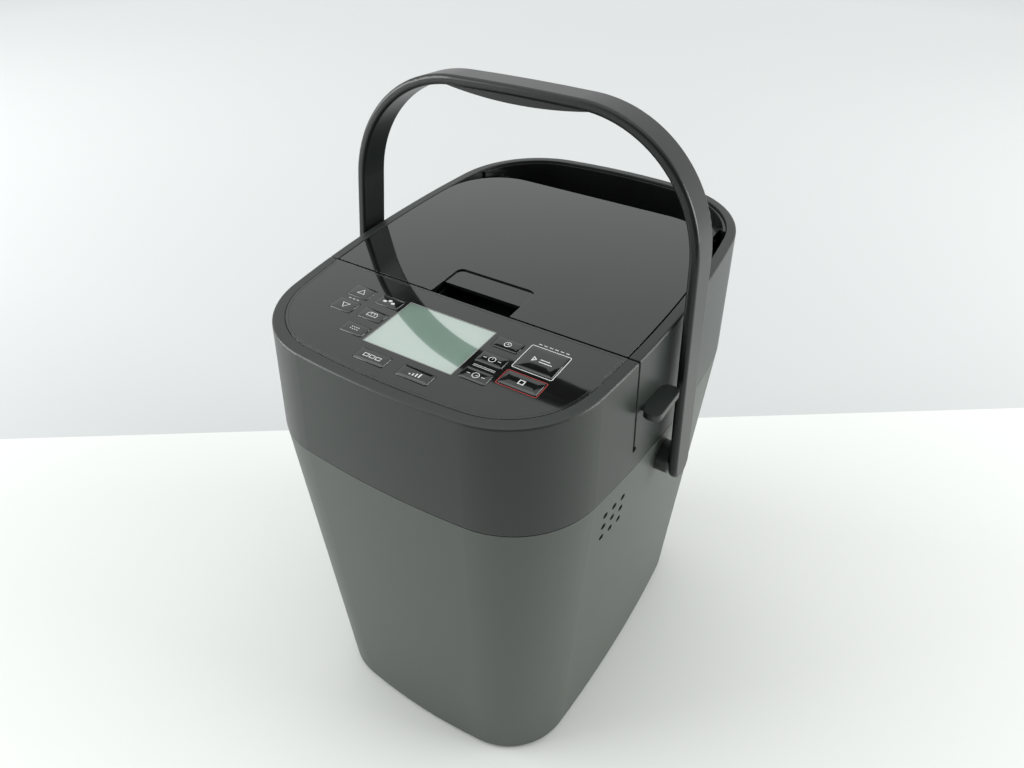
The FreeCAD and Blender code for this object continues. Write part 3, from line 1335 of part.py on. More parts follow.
# ---------------------------------------------------------------- bread pan
def bread_pan():
    """Tapered pan with a rim, two bail ears and a foot ring that turns into the chamber's seat."""
    body = new_body("pan_shell")

    def level(height, half_width, half_depth, shrink):
        sketch = new_sketch(body, "XY_Plane", height)
        draw_rectangle(sketch, f"{shrink} - {half_width}", f"{half_width} - {shrink}",
                       f"drive_y - {half_depth} + {shrink}", f"drive_y + {half_depth} - {shrink}",
                       f"pan_corner - {shrink}")
        return sketch

    low, high = ("pan_bottom_half_width", "pan_bottom_half_depth"), ("pan_half_width",
                                                                     "pan_half_depth")
    loft(body, level("pan_bottom", *low, "0"), level("pan_top", *high, "0"))
    rim = level("pan_top", "(pan_half_width + pan_rim)", "(pan_half_depth + pan_rim)", "0")
    pad(body, rim, "pan_rim_thickness", down=True)
    loft(body, level("pan_bottom + pan_wall", *low, "pan_wall"),
         level("pan_top", *high, "pan_wall"), removes=True)
    ears = []
    for side in (-1, 1):
        inner, outer = f"{side} * (bail_half_width + 3)", f"{side} * (bail_half_width + 5.5)"
        near, far = (inner, outer) if side > 0 else (outer, inner)
        ears.append(box(near, far, "drive_y - ear_width / 2", "drive_y + ear_width / 2",
                        "pan_top - pan_rim_thickness", "pan_top + ear_height"))
    foot = cylinder("0", "drive_y", "chamber_floor + chamber_sheet + 0.3", "pan_foot_radius",
                    "pan_bottom - chamber_floor - chamber_sheet + 0.2")
    inner = cylinder("0", "drive_y", "chamber_floor", "pan_foot_radius - pan_foot_wall",
                     "pan_bottom - chamber_floor")
    bush = cylinder("0", "drive_y", "pan_bottom - 5", "bush_radius + seat_fit", "20")
    pins = cylinder("-bail_half_width - 20", "drive_y", "bail_level", "bail_radius + bail_fit",
                    "2 * bail_half_width + 40", "x")
    return node("bread_pan", cut(fuse(body, *ears, foot), inner, bush, pins))


def pan_bush():
    """Bearing bush pressed into the pan's floor."""
    outer = cylinder("0", "drive_y", "bush_bottom", "bush_radius", "bush_top - bush_bottom")
    bore = cylinder("0", "drive_y", "bush_bottom - 1", "shaft_radius + running_fit", "30")
    return node("pan_bush", cut(outer, bore))


def pan_handle():
    """Wire bail of the pan, folded down over the rim."""
    near, far = "drive_y", "drive_y + bail_reach"
    pieces = []
    for side in (-1, 1):
        x = f"{side} * bail_half_width"
        stub = x if side > 0 else "-bail_half_width - 6"
        pieces.append(cylinder(stub, near, "bail_level", "bail_radius", "6", "x"))
        pieces.append(cylinder(x, near, "bail_level", "bail_radius", "bail_reach", "y"))
        for y in (near, far):
            ball = doc.addObject("Part::Sphere", "bend")
            bind(ball, "Radius", "bail_radius")
            pieces.append(place(ball, x, y, "bail_level"))
    pieces.append(cylinder("-bail_half_width", far, "bail_level", "bail_radius",
                           "2 * bail_half_width", "x"))
    return node("pan_handle", fuse(*pieces))


# ---------------------------------------------------------------- kneading drive
def pan_shaft():
    """Shaft in the pan's bush with a cross-bar that the drive coupling turns."""
    shaft = cylinder("0", "drive_y", "bar_bottom", "shaft_radius", "blade_top - 2 - bar_bottom")
    bar = box("-bar_width / 2", "bar_width / 2", "drive_y - bar_length / 2",
              "drive_y + bar_length / 2", "bar_bottom", "bar_bottom + bar_height")
    return node("pan_shaft", fuse(shaft, bar))


def kneading_blade():
    """Blade on top of the shaft: a closed hub with one upright vane."""
    hub = cylinder("0", "drive_y", "blade_bottom", "blade_hub_radius", "blade_top - blade_bottom")
    socket = cylinder("0", "drive_y", "blade_bottom - 1", "shaft_radius + seat_fit",
                      "blade_top - 2 - blade_bottom + 1")
    body = new_body("vane")
    side = new_sketch(body, "XZ_Plane", "-drive_y")
    draw_polygon(side, [("blade_hub_radius - 2", "blade_bottom"), ("vane_reach", "blade_bottom"),
                        ("vane_reach", "blade_bottom + vane_height * 0.7"),
                        ("vane_reach - 12", "blade_bottom + vane_height"),
                        ("blade_hub_radius + 6", "blade_top + 2"),
                        ("blade_hub_radius - 2", "blade_top - 3")])
    slab = pad(body, side, "vane_thickness", middle=True)
    round_edges(body, slab, "vane_thickness / 2 - 0.2",
                lambda edge: edge.BoundBox.YLength < 0.01
                and edge.BoundBox.XMin > value_of("blade_hub_radius") + 1)
    return node("kneading_blade", cut(fuse(hub, body), socket))


def drive_shaft():
    """Vertical shaft between the large pulley and the coupling."""
    return node("drive_shaft", cylinder("0", "drive_y", "pulley_bottom - 2", "shaft_radius",
                                        "coupling_bottom + 4 - pulley_bottom + 2"))


def drive_coupling():
    """Fork on the drive shaft that turns the pan's cross-bar."""
    hub = cylinder("0", "drive_y", "coupling_bottom", "coupling_radius", "coupling_height")
    prongs = [box(f"{side} * 7 - 1.5", f"{side} * 7 + 1.5", "drive_y - 3", "drive_y + 3",
                  "coupling_bottom + coupling_height - 1",
                  "coupling_bottom + coupling_height + prong_height") for side in (-1, 1)]
    socket = cylinder("0", "drive_y", "coupling_bottom - 1", "shaft_radius + seat_fit", "5")
    return node("drive_coupling", cut(fuse(hub, *prongs), socket))


def large_pulley():
    """Driven pulley with lightening holes."""
    disc = cylinder("0", "drive_y", "pulley_bottom", "pulley_radius", "pulley_height")
    cuts = [cylinder("0", "drive_y", "pulley_bottom - 1", "shaft_radius + seat_fit",
                     "pulley_height + 2")]
    for start in ("pulley_bottom - 1", "pulley_bottom + pulley_height - 3"):
        cuts.append(cut(cylinder("0", "drive_y", start, "pulley_radius - 4", "4"),
                        cylinder("0", "drive_y", f"{start} - 1", "pulley_hub", "6")))
    middle = "((pulley_radius - 4 + pulley_hub) / 2)"
    for turn in range(6):
        cuts.append(cylinder(f"{middle} * cos({60 * turn})", f"drive_y + {middle} * sin({60 * turn})",
                             "pulley_bottom - 1", "8.5", "pulley_height + 2"))
    return node("large_pulley", cut(disc, *cuts))


def motor_pulley():
    """Small flanged pulley on the motor's shaft."""
    level = "pulley_bottom"
    shaft = cylinder("0", "motor_y", f"{level} - 2", "motor_shaft", "chassis_level + 24 - pulley_bottom")
    drum = cylinder("0", "motor_y", level, "motor_pulley_radius", "pulley_height")
    flanges = [cylinder("0", "motor_y", start, "motor_pulley_flange", "1.2")
               for start in (level, f"{level} + pulley_height - 1.2")]
    return node("motor_pulley", fuse(shaft, drum, *flanges))


def belt():
    """Flat belt round the two pulleys."""
    body = new_body("belt")
    up = Vector(0, 0, 1)

    def loop(sketch, gap):
        near, far = value_of(f"motor_pulley_radius + {gap}"), value_of(f"pulley_radius + {gap}")
        y_near, y_far = value_of("motor_y"), value_of("drive_y")
        lean = math.asin((far - near) / (y_far - y_near))
        big = Part.ArcOfCircle(Part.Circle(Vector(0, y_far, 0), up, far), -lean, math.pi + lean)
        small = Part.ArcOfCircle(Part.Circle(Vector(0, y_near, 0), up, near), math.pi + lean,
                                 2 * math.pi - lean)
        left = Part.LineSegment(big.EndPoint, small.StartPoint)
        right = Part.LineSegment(small.EndPoint, big.StartPoint)
        ends = [sketch.addGeometry(item, False) for item in (big, left, small, right)]
        for first, second in zip(ends, ends[1:] + ends[:1]):
            sketch.addConstraint(Sketcher.Constraint("Tangent", first, 2, second, 1))
        hold_point(sketch, ends[0], 3, "0", "drive_y")
        hold_point(sketch, ends[2], 3, "0", "motor_y")
        hold(sketch, "Radius", ends[0], text=f"pulley_radius + {gap}")
        hold(sketch, "Radius", ends[2], text=f"motor_pulley_radius + {gap}")

    level = "pulley_bottom + (pulley_height - belt_height) / 2"
    outer = new_sketch(body, "XY_Plane", level)
    loop(outer, "belt_gap + belt_thickness")
    pad(body, outer, "belt_height")
    inner = new_sketch(body, "XY_Plane", level)
    loop(inner, "belt_gap")
    pocket(body, inner, "belt_height + 1", forward=True)
    return node("belt", body)


def motor():
    """Induction motor that stands on the chassis in front of the chamber."""
    seat = "chassis_level + chassis_thickness"
    flange = box("-motor_radius - 3", "motor_radius + 3", "motor_y - motor_radius + 2",
                 "motor_y + motor_radius - 2", seat, f"{seat} + 2.5")
    can = cylinder("0", "motor_y", seat, "motor_radius", "motor_height")
    cap = cylinder("0", "motor_y", f"{seat} + motor_height", "motor_radius / 2.5", "4")
    bore = cylinder("0", "motor_y", f"{seat} - 1", "motor_shaft + running_fit", "26")
    return node("motor", cut(fuse(flange, can, cap), bore))


def bearing_housing():
    """Bearing of the drive shaft between the chassis and the chamber."""
    seat = "chassis_level + chassis_thickness"
    tube = cylinder("0", "drive_y", seat, "12", f"chamber_floor - ({seat})")
    flange = cylinder("0", "drive_y", seat, "18", "2.5")
    bore = cylinder("0", "drive_y", f"{seat} - 1", "shaft_radius + running_fit", "40")
    return node("bearing_housing", cut(fuse(tube, flange), bore))


# ---------------------------------------------------------------- inner structure and electrics
def chassis():
    """Pressed plate on legs that carries the motor, the bearing and the chamber."""
    top = "chassis_level + chassis_thickness"
    plate = box("-chassis_half_width", "chassis_half_width", "chassis_front", "chassis_rear",
                "chassis_level", top)
    floor = "foot_height + base_thickness"
    inset = "(chassis_half_width - post_size / 2 - 4)"
    pieces = [plate]
    for side in (-1, 1):
        for y in ("chassis_front + post_size / 2 + 34", "chassis_rear - post_size / 2 - 14"):
            pieces.append(box(f"{side} * {inset} - post_size / 2", f"{side} * {inset} + post_size / 2",
                              f"{y} - post_size / 2", f"{y} + post_size / 2", floor,
                              "chassis_level"))
        for y in ("drive_y - 42", "drive_y + 42"):
            pieces.append(cylinder(f"{side} * 58", y, "chassis_level", "post_size / 2",
                                   "chamber_floor - chassis_level"))
    shaft = cylinder("0", "drive_y", "chassis_level - 1", "shaft_radius + 2", "6")
    rotor = cylinder("0", "motor_y", "chassis_level - 1", "motor_shaft + 2", "6")
    corners = [cylinder(f"{side} * chassis_half_width", "chassis_front", "chassis_level - 1",
                        "30", "6") for side in (-1, 1)]
    return node("chassis", cut(fuse(*pieces), shaft, rotor, *corners))


def heat_shield():
    """Sheet between the chamber and the motor bay, which also carries the power board."""
    foot = "chassis_level + chassis_thickness"
    wall = box("-shield_half_width", "shield_half_width", "shield_y",
               "shield_y + shield_thickness", foot, f"{foot} + shield_height")
    lip = box("-shield_half_width", "shield_half_width", "shield_y",
              "shield_y + shield_thickness + 7", foot, f"{foot} + shield_thickness")
    return node("heat_shield", fuse(wall, lip))


def power_board():
    """Power board on four standoffs in front of the shield."""
    bottom = "power_board_bottom"
    top = "power_board_bottom + power_board_height"
    back = "shield_y - standoff"
    face = f"{back} - board_thickness"
    plate = box("-power_board_half_width", "power_board_half_width", face, back, bottom, top)
    posts = [cylinder(f"{side} * (power_board_half_width - 5)", back, z, "3", "standoff", "y")
             for side in (-1, 1) for z in (f"{bottom} + 5", f"{top} - 5")]
    transformer = box("-48", "-16", f"{face} - 22", face, f"{bottom} + 12", f"{bottom} + 42")
    relay = box("22", "44", f"{face} - 16", face, f"{bottom} + 8", f"{bottom} + 24")
    capacitors = [cylinder(f"{x}", f"{face} - 20", f"{bottom} + 46", "6", "20", "y")
                  for x in (6, 24, 42)]
    return node("power_board", fuse(plate, *posts, transformer, relay, *capacitors))


def buzzer():
    """Alarm sounder behind the holes, on an arm from the side wall."""
    case = cylinder("buzzer_face - buzzer_depth", "alarm_y", "alarm_z", "buzzer_radius",
                    "buzzer_depth", "x")
    return node("buzzer", case)


# ---------------------------------------------------------------- build, check and export
for make in (lower_casing, upper_casing, base_plate, feet, base_screws, cord_grommet,
             handle_pivots, handle_stops, carrying_handle, handle_grip,
             control_panel, panel_film, lcd_window, lcd_module, control_board,
             lid_panel, lid_frame, lid_grip, lid_plate, lid_seal, flap_solenoid,
             hinge_cover, hinge_pins, mouth_frame, baking_chamber, heater, temperature_sensor,
             bread_pan, pan_bush, pan_handle, pan_shaft, kneading_blade,
             drive_shaft, drive_coupling, large_pulley, motor_pulley, belt, motor,
             bearing_housing, chassis, heat_shield, power_board, buzzer):
    make()
for name, spot in KEYS.items():
    key(name, *spot)
dispenser("raisin", "dispenser_left", "dispenser_right", "dispenser_rear")
dispenser("yeast", "yeast_left", "yeast_right", "yeast_rear")
doc.recompute()

faults = [f"{item.Label}: {item.State}" for item in doc.Objects
          if "Invalid" in item.State or "Error" in item.State]
for label, item in NODES.items():
    if item.Shape.isNull() or not item.Shape.isValid():
        faults.append(f"{label}: no valid shape")
if faults:
    raise RuntimeError("; ".join(faults))

for label, item in NODES.items():
    item.Shape.exportStep(f"parts/{label}.step")
    extent = item.Shape.BoundBox
    print(f"{label:20s} solids {len(item.Shape.Solids)}  volume {item.Shape.Volume / 1000:8.2f} cm3"
          f"  x {extent.XMin:7.1f} {extent.XMax:7.1f}  y {extent.YMin:7.1f} {extent.YMax:7.1f}"
          f"  z {extent.ZMin:6.1f} {extent.ZMax:6.1f}")
print(len(NODES), "sub-parts")
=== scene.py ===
# %% [markdown]
# # Bread machine
# The machine is a tall black box with bowed walls, a sloping glossy top and a carrying handle.
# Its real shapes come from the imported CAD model, which this script loads as a fixed frame.
# Here it gets its finishes, key caps, printed marks, feet, screw heads, lid seal and studio.
# Blender counts in metres, so a size in millimetres is written as a number times MM.

# %% Load the frame
import json
import math

import bmesh
import bpy
from mathutils import Matrix, Vector


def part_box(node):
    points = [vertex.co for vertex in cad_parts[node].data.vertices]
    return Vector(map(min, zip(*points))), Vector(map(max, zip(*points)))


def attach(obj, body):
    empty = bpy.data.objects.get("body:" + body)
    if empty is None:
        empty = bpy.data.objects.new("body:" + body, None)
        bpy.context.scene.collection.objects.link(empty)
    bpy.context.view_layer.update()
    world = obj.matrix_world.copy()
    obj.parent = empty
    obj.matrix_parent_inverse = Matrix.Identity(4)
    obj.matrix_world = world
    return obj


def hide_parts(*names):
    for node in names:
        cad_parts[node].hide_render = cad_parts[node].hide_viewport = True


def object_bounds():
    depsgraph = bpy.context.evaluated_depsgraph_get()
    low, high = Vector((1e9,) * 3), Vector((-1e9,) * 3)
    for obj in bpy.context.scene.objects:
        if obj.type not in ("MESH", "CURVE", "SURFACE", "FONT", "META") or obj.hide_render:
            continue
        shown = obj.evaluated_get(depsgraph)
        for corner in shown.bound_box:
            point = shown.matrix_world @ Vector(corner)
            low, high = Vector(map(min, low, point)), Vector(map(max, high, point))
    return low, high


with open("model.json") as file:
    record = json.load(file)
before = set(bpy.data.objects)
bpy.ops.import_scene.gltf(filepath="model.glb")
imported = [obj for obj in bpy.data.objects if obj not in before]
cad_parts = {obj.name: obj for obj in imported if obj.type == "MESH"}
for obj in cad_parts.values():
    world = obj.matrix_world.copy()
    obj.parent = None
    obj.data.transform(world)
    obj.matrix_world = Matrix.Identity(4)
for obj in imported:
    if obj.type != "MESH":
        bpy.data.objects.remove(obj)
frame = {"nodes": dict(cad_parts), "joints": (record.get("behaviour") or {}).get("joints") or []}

MM = 0.001
cad_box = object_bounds()
low, high = (Vector(corner) for corner in cad_box)
print("CAD box", [round(v, 4) for v in (*low, *high)])

# %% [markdown]
# ## The deck
# The top of the machine slopes up to the rear, and the panel, the keys and the lid lie on it.
# It is easier to draw on a flat surface, so marks are laid out in the deck's own coordinates:
# x to the right, y to the rear along the slope, and z straight out of it. One matrix then turns
# them into the machine's frame. The slope is read from the keys, which travel square to the deck.

# %% Deck coordinates
press_axis = next(joint["axis"] for joint in frame["joints"]
                  if joint["name"] == "key_start_press")
out_of_deck = -Vector(press_axis).normalized()
up_the_slope = Vector((0, out_of_deck.z, -out_of_deck.y))
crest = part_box("lid_panel")[1]
deck_origin = Vector((0, crest.y, crest.z)) - up_the_slope * (crest.y / up_the_slope.y)
DECK = Matrix.Translation(deck_origin) @ Matrix((
    (1, 0, 0, 0),
    (0, up_the_slope.y, out_of_deck.y, 0),
    (0, up_the_slope.z, out_of_deck.z, 0),
    (0, 0, 0, 1),
))


def deck_box(node):
    """Lowest and highest corner of a CAD node in deck coordinates."""
    back = DECK.inverted()
    points = [back @ vertex.co for vertex in frame["nodes"][node].data.vertices]
    return (Vector([min(p[i] for p in points) for i in range(3)]),
            Vector([max(p[i] for p in points) for i in range(3)]))


print("deck slope", round(math.degrees(math.asin(up_the_slope.z)), 2), "degrees")

# %% [markdown]
# ## Camera
# The machine is seen from the front right and from above. The camera comes first, because every
# finish is judged from it. Its place and turn are plain numbers: a heading, a look-down angle and
# a very small roll. The lens is a little wide, so the casing tapers strongly towards its foot.

# %% Camera
CAMERA_PLACE = Vector((0.2308, -0.3737, 0.5573))
HEADING, LOOK_DOWN, ROLL = 32.47, 36.71, 0.32  # degrees
LENS, SENSOR_WIDTH = 26.72, 36.0  # millimetres, as Blender has them here
NEAREST_SEEN = 10 * MM


def scene_object(name, data):
    """Put a mesh, a lamp or a camera into the scene, at the origin."""
    made = bpy.data.objects.new(name, data)
    bpy.context.scene.collection.objects.link(made)
    return made


camera_data = bpy.data.cameras.new("camera")
camera_data.lens = LENS
camera_data.sensor_width = SENSOR_WIDTH
camera_data.clip_start = NEAREST_SEEN
camera = scene_object("camera", camera_data)
turn = (Matrix.Rotation(math.radians(HEADING), 4, "Z")
        @ Matrix.Rotation(math.radians(90 - LOOK_DOWN), 4, "X")
        @ Matrix.Rotation(math.radians(ROLL), 4, "Z"))
camera.matrix_world = Matrix.Translation(CAMERA_PLACE) @ turn
bpy.context.scene.camera = camera
print("camera", round(CAMERA_PLACE.length, 3), "m from the origin, looking down", LOOK_DOWN)

# %% [markdown]
# ## Shader maths
# Every finish is worked out from numbers that vary over the surface. Wiring those by hand takes
# many lines, so a small class wraps a socket and lets Python's own operators add the Math nodes.
# Each operator has a reflected form too, so that 1 - mask works as well as mask - 1.


# %% A socket that Python can do sums with
class Wire:
    """An output socket; an expression on wires adds the Math nodes that work it out."""

    def __init__(self, shader, socket):
        self.shader = shader
        self.socket = socket

    def maths(self, operation, first, second):
        return self.shader.node("ShaderNodeMath", {"operation": operation},
                                {0: first, 1: second})

    def __add__(self, other):
        return self.maths("ADD", self, other)

    def __radd__(self, other):
        return self.maths("ADD", other, self)

    def __sub__(self, other):
        return self.maths("SUBTRACT", self, other)

    def __rsub__(self, other):
        return self.maths("SUBTRACT", other, self)

    def __mul__(self, other):
        return self.maths("MULTIPLY", self, other)

    def __rmul__(self, other):
        return self.maths("MULTIPLY", other, self)

    def __truediv__(self, other):
        return self.maths("DIVIDE", self, other)

    def __rtruediv__(self, other):
        return self.maths("DIVIDE", other, self)

    def __gt__(self, other):
        return self.maths("GREATER_THAN", self, other)

    def __lt__(self, other):
        return self.maths("LESS_THAN", self, other)

    def apart(self, axis):
        """One component of a vector."""
        return self.shader.node("ShaderNodeSeparateXYZ", {}, {0: self}, "XYZ".index(axis))


print("a wire can be added, subtracted, multiplied, divided and compared")

# %% [markdown]
# ## Colours
# A socket takes a colour as red, green, blue and alpha in linear light, in which black plastic is
# about one hundredth. Dusty, stained or shaded places have the same colour made a little lighter
# or darker, and one helper gives that second colour.


# %% Colours
def rgb(red, green, blue):
    return (red, green, blue, 1.0)


def scaled(colour, factor, lift=0.0):
    """A colour made lighter or darker, as a socket takes it."""
    return rgb(*(min(1, value * factor + lift) for value in colour))


print("black plastic, lighter", [round(v, 4) for v in scaled((0.010, 0.013, 0.011), 1.35)])

# %% [markdown]
# Any other node comes from one method, which takes the node's type, its settings and its inputs.
# A number or a colour that is the same all over goes straight on the surface's own socket, when
# the shader is made. Only what changes over the surface is fed to it through a wire.


# %% One material's nodes
BEVEL_SAMPLES = 4


class Shader:
    """A material on which nodes are built; spaces in the names of constants are underscores."""

    def __init__(self, name, **constants):
        self.material = bpy.data.materials.new(name)
        self.material.use_nodes = True
        self.tree = self.material.node_tree
        self.surface = self.tree.nodes["Principled BSDF"]
        for socket, value in constants.items():
            self.surface.inputs[socket.replace("_", " ")].default_value = value

    def node(self, kind, settings=None, inputs=None, output=0):
        made = self.tree.nodes.new(kind)
        for name, value in (settings or {}).items():
            if name == "stops":
                for element, (place, grey) in zip(made.color_ramp.elements, value):
                    element.position = place
                    element.color = rgb(grey, grey, grey)
            else:
                setattr(made, name, value)
        for name, value in (inputs or {}).items():
            self.feed(made.inputs[name], value)
        return Wire(self, made.outputs[output])

    def feed(self, socket, value):
        if isinstance(value, Wire):
            self.tree.links.new(value.socket, socket)
        else:
            socket.default_value = value

    def set(self, name, value):
        self.feed(self.surface.inputs[name], value)

    @property
    def place(self):
        """Where the surface point lies on the object."""
        return self.node("ShaderNodeTexCoord", output="Object")

    def noise(self, size, detail=2.0, stretch=None, roughness=0.5):
        """Soft random spots of about this size."""
        where = self.place
        if stretch:
            where = self.node("ShaderNodeMapping", {}, {"Vector": where, "Scale": stretch})
        return self.node("ShaderNodeTexNoise", {},
                         {"Vector": where, "Scale": 1 / size, "Detail": detail,
                          "Roughness": roughness})

    def ramp(self, value, start, end):
        """Black below the start, white above the end and an even change between them."""
        return self.node("ShaderNodeValToRGB", {"stops": [(start, 0.0), (end, 1.0)]}, {0: value})

    def mix(self, factor, first, second):
        """A colour between two others."""
        return self.node("ShaderNodeMix", {"data_type": "RGBA"},
                         {0: factor, 6: first, 7: second}, 2)

    def relief(self, height, depth, strength, edge):
        """Bump the surface by a height, over edges rounded by a small radius."""
        rounded = self.node("ShaderNodeBevel", {"samples": BEVEL_SAMPLES}, {"Radius": edge})
        self.set("Normal", self.node("ShaderNodeBump", {}, {
            "Height": height, "Distance": depth, "Strength": strength, "Normal": rounded}))


print("finishes can be made")

# %% [markdown]
# ## Moulded plastics
# The casing is black ABS. Its lower part has a fine spark-eroded grain that scatters light, so it
# looks grey-green in a bright room, and the upper band is smoother and darker. One function makes
# all of them: a fine noise for the grain, slow clouds for uneven sheen, and edges rounded by half
# a millimetre or more, because no mould has a knife edge.

# %% Plastics
CLOUD_SIZE = 45 * MM
CLOUD_TONE, GRAIN_TONE = 0.6, 0.3
CLOUD_SHEEN, GRAIN_SHEEN = 0.04, 0.08
DUSTY, DUST_LIFT = 1.35, 0.002
GRAIN_STRENGTH = 0.6


def plastic(name, colour, roughness, grain=0.4 * MM, depth=0.02 * MM, edge=0.5 * MM,
            specular=0.5):
    shader = Shader(name, Specular_IOR_Level=specular)
    clouds = shader.noise(CLOUD_SIZE, 3.0)
    fine = shader.noise(grain)
    tone = clouds * CLOUD_TONE + fine * GRAIN_TONE
    shader.set("Base Color", shader.mix(tone, rgb(*colour), scaled(colour, DUSTY, DUST_LIFT)))
    shader.set("Roughness", roughness + (clouds - 0.5) * CLOUD_SHEEN
               + (fine - 0.5) * GRAIN_SHEEN)
    shader.relief(fine, depth, GRAIN_STRENGTH, edge)
    return shader.material


casing_plastic = plastic("casing plastic", (0.0300, 0.0385, 0.0310), 0.44, grain=0.45 * MM,
                         depth=0.04 * MM, specular=0.80)
band_plastic = plastic("band plastic", (0.0095, 0.0132, 0.0112), 0.36, edge=1.1 * MM)
handle_plastic = plastic("handle plastic", (0.0055, 0.0075, 0.0065), 0.30, grain=0.6 * MM,
                         depth=0.01 * MM, specular=0.38)
grip_plastic = plastic("grip plastic", (0.0050, 0.0065, 0.0060), 0.32, grain=0.6 * MM,
                       specular=0.38)
inner_plastic = plastic("inner plastic", (0.020, 0.020, 0.021), 0.42, grain=0.5 * MM)
dispenser_plastic = plastic("dispenser plastic", (0.050, 0.050, 0.052), 0.40, grain=0.5 * MM)
part_plastic = plastic("black part plastic", (0.022, 0.022, 0.023), 0.48)
pulley_plastic = plastic("acetal plastic", (0.62, 0.60, 0.55), 0.38, grain=0.8 * MM,
                         depth=0.01 * MM)
print("casing plastic has", len(casing_plastic.node_tree.nodes), "nodes")

# %% [markdown]
# ## Gloss
# The lid and the panel are high-gloss black, so what is seen in them is the bright room. A mirror
# made of plastic is never perfect: a faint ripple from the mould and a film of fingermarks spread
# the reflection. Roughness is driven by large smudges, and the ripple is a very shallow bump. A
# clear coat over the black gives the second, sharper reflection of a lacquered piece.

# %% Gloss finishes
SMUDGE_SIZE, FLECK_SIZE = 30 * MM, 1.1 * MM
SMUDGE_STRETCH = (1.0, 0.35, 1.0)
CLEAN_BELOW, SMEARED_ABOVE, FLECK_ABOVE = 0.48, 0.72, 0.72
SMEAR_TONE, FLECK_ROUGHNESS = 0.25, 0.05
SMEARED, SMEAR_LIFT = 1.6, 0.002
RIPPLE_SIZE, RIPPLE_DEPTH = 6 * MM, 0.0025 * MM
GREENISH = rgb(0.90, 1.0, 0.97)
LACQUER, LACQUER_ROUGHNESS = 0.55, 0.03
GLOSS_BLACK = (0.0065, 0.0068, 0.0064)


def gloss(name, colour, roughness, smudge=0.05, edge=0.4 * MM, coat=LACQUER):
    shader = Shader(name, Coat_Weight=coat, Coat_Roughness=LACQUER_ROUGHNESS,
                    Specular_Tint=GREENISH)
    wipes = shader.noise(SMUDGE_SIZE, 4.0, stretch=SMUDGE_STRETCH, roughness=0.6)
    marks = shader.ramp(wipes, CLEAN_BELOW, SMEARED_ABOVE)
    flecks = shader.noise(FLECK_SIZE, 1.0) > FLECK_ABOVE
    shader.set("Base Color", shader.mix(marks * SMEAR_TONE, rgb(*colour),
                                        scaled(colour, SMEARED, SMEAR_LIFT)))
    shader.set("Roughness", roughness + marks * smudge + flecks * FLECK_ROUGHNESS)
    shader.relief(shader.noise(RIPPLE_SIZE, 1.0), RIPPLE_DEPTH, 1.0, edge)
    return shader.material


lid_gloss = gloss("lid gloss", (0.0050, 0.0056, 0.0058), 0.045)
panel_gloss = gloss("panel gloss", GLOSS_BLACK, 0.10, edge=0.5 * MM)
film_gloss = gloss("printed film", GLOSS_BLACK, 0.055, smudge=0.03)
key_gloss = gloss("key gloss", GLOSS_BLACK, 0.06, smudge=0.03, edge=0.3 * MM)
recess_gloss = gloss("recess gloss", (0.0070, 0.0070, 0.0075), 0.16, edge=0.6 * MM, coat=0.0)
print("lid gloss has", len(lid_gloss.node_tree.nodes), "nodes")

# %% [markdown]
# ## Display
# A reflective liquid-crystal display lies behind the panel's window. The green of its glass is a
# matt colour, and the polished window over it throws back the white room without any tint, so the
# coat is given a high refractive index. The edge darkens a little where the frame shades it, and
# the faint net of idle cells stays visible.

# %% Display finish
CELL_PITCH, CELL_GAP, CELL_TONE = 0.55 * MM, 0.06 * MM, 0.10
GLASS_GREEN = rgb(0.270, 0.385, 0.325)
SHADED_GREEN = rgb(0.12, 0.17, 0.15)
CELL_GREEN = rgb(0.18, 0.26, 0.22)
SHADE_FROM, SHADE_FULL, SHADE_TONE = 0.25, 1.0, 0.5
MIRROR_IOR = 4.0
HAZE_SIZE, HAZE_ROUGHNESS = 20 * MM, 0.05


def display_finish(name, node):
    corner_low, corner_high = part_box(node)
    middle, half = (corner_low + corner_high) / 2, (corner_high - corner_low) / 2
    shader = Shader(name, Specular_IOR_Level=0.8, Coat_Weight=1.0,
                    Coat_Roughness=LACQUER_ROUGHNESS, Coat_IOR=MIRROR_IOR)
    place = shader.place
    across = (place.apart("X") - middle.x) / half.x
    along = (place.apart("Y") - middle.y) / half.y
    edge = across * across * across * across + along * along * along * along
    cells = shader.node("ShaderNodeTexBrick", {"offset": 0.0},
                        {"Vector": place, "Scale": 1.0, "Mortar Size": CELL_GAP,
                         "Brick Width": CELL_PITCH, "Row Height": CELL_PITCH}, "Fac")
    shade = shader.ramp(edge * 0.5, SHADE_FROM, SHADE_FULL)
    green = shader.mix(shade * SHADE_TONE, GLASS_GREEN, SHADED_GREEN)
    shader.set("Base Color", shader.mix(cells * CELL_TONE, green, CELL_GREEN))
    shader.set("Roughness", 0.10 + shader.noise(HAZE_SIZE) * HAZE_ROUGHNESS)
    return shader.material


display_surface = display_finish("display surface", "lcd_window")
print("display cells", round(CELL_PITCH / MM, 2), "mm apart")

# %% [markdown]
# ## Inks
# The panel is screen-printed. The ink is matt, and its tone keeps a trace of the woven mesh it
# was pressed through, which a very fine noise gives.

# %% Ink finishes
MESH_SIZE, MESH_TONE, MESH_ROUGHNESS = 0.35 * MM, 0.4, 0.1
INK_ROUGHNESS, THIN_INK = 0.45, 0.72


def ink(name, colour):
    shader = Shader(name)
    mesh = shader.noise(MESH_SIZE, 1.0)
    shader.set("Base Color", shader.mix(mesh * MESH_TONE, rgb(*colour), scaled(colour, THIN_INK)))
    shader.set("Roughness", INK_ROUGHNESS + mesh * MESH_ROUGHNESS)
    return shader.material


white_ink = ink("white ink", (0.62, 0.64, 0.63))
grey_ink = ink("grey ink", (0.26, 0.27, 0.26))
red_ink = ink("red ink", (0.30, 0.018, 0.016))
print("inks", white_ink.name, grey_ink.name, red_ink.name)

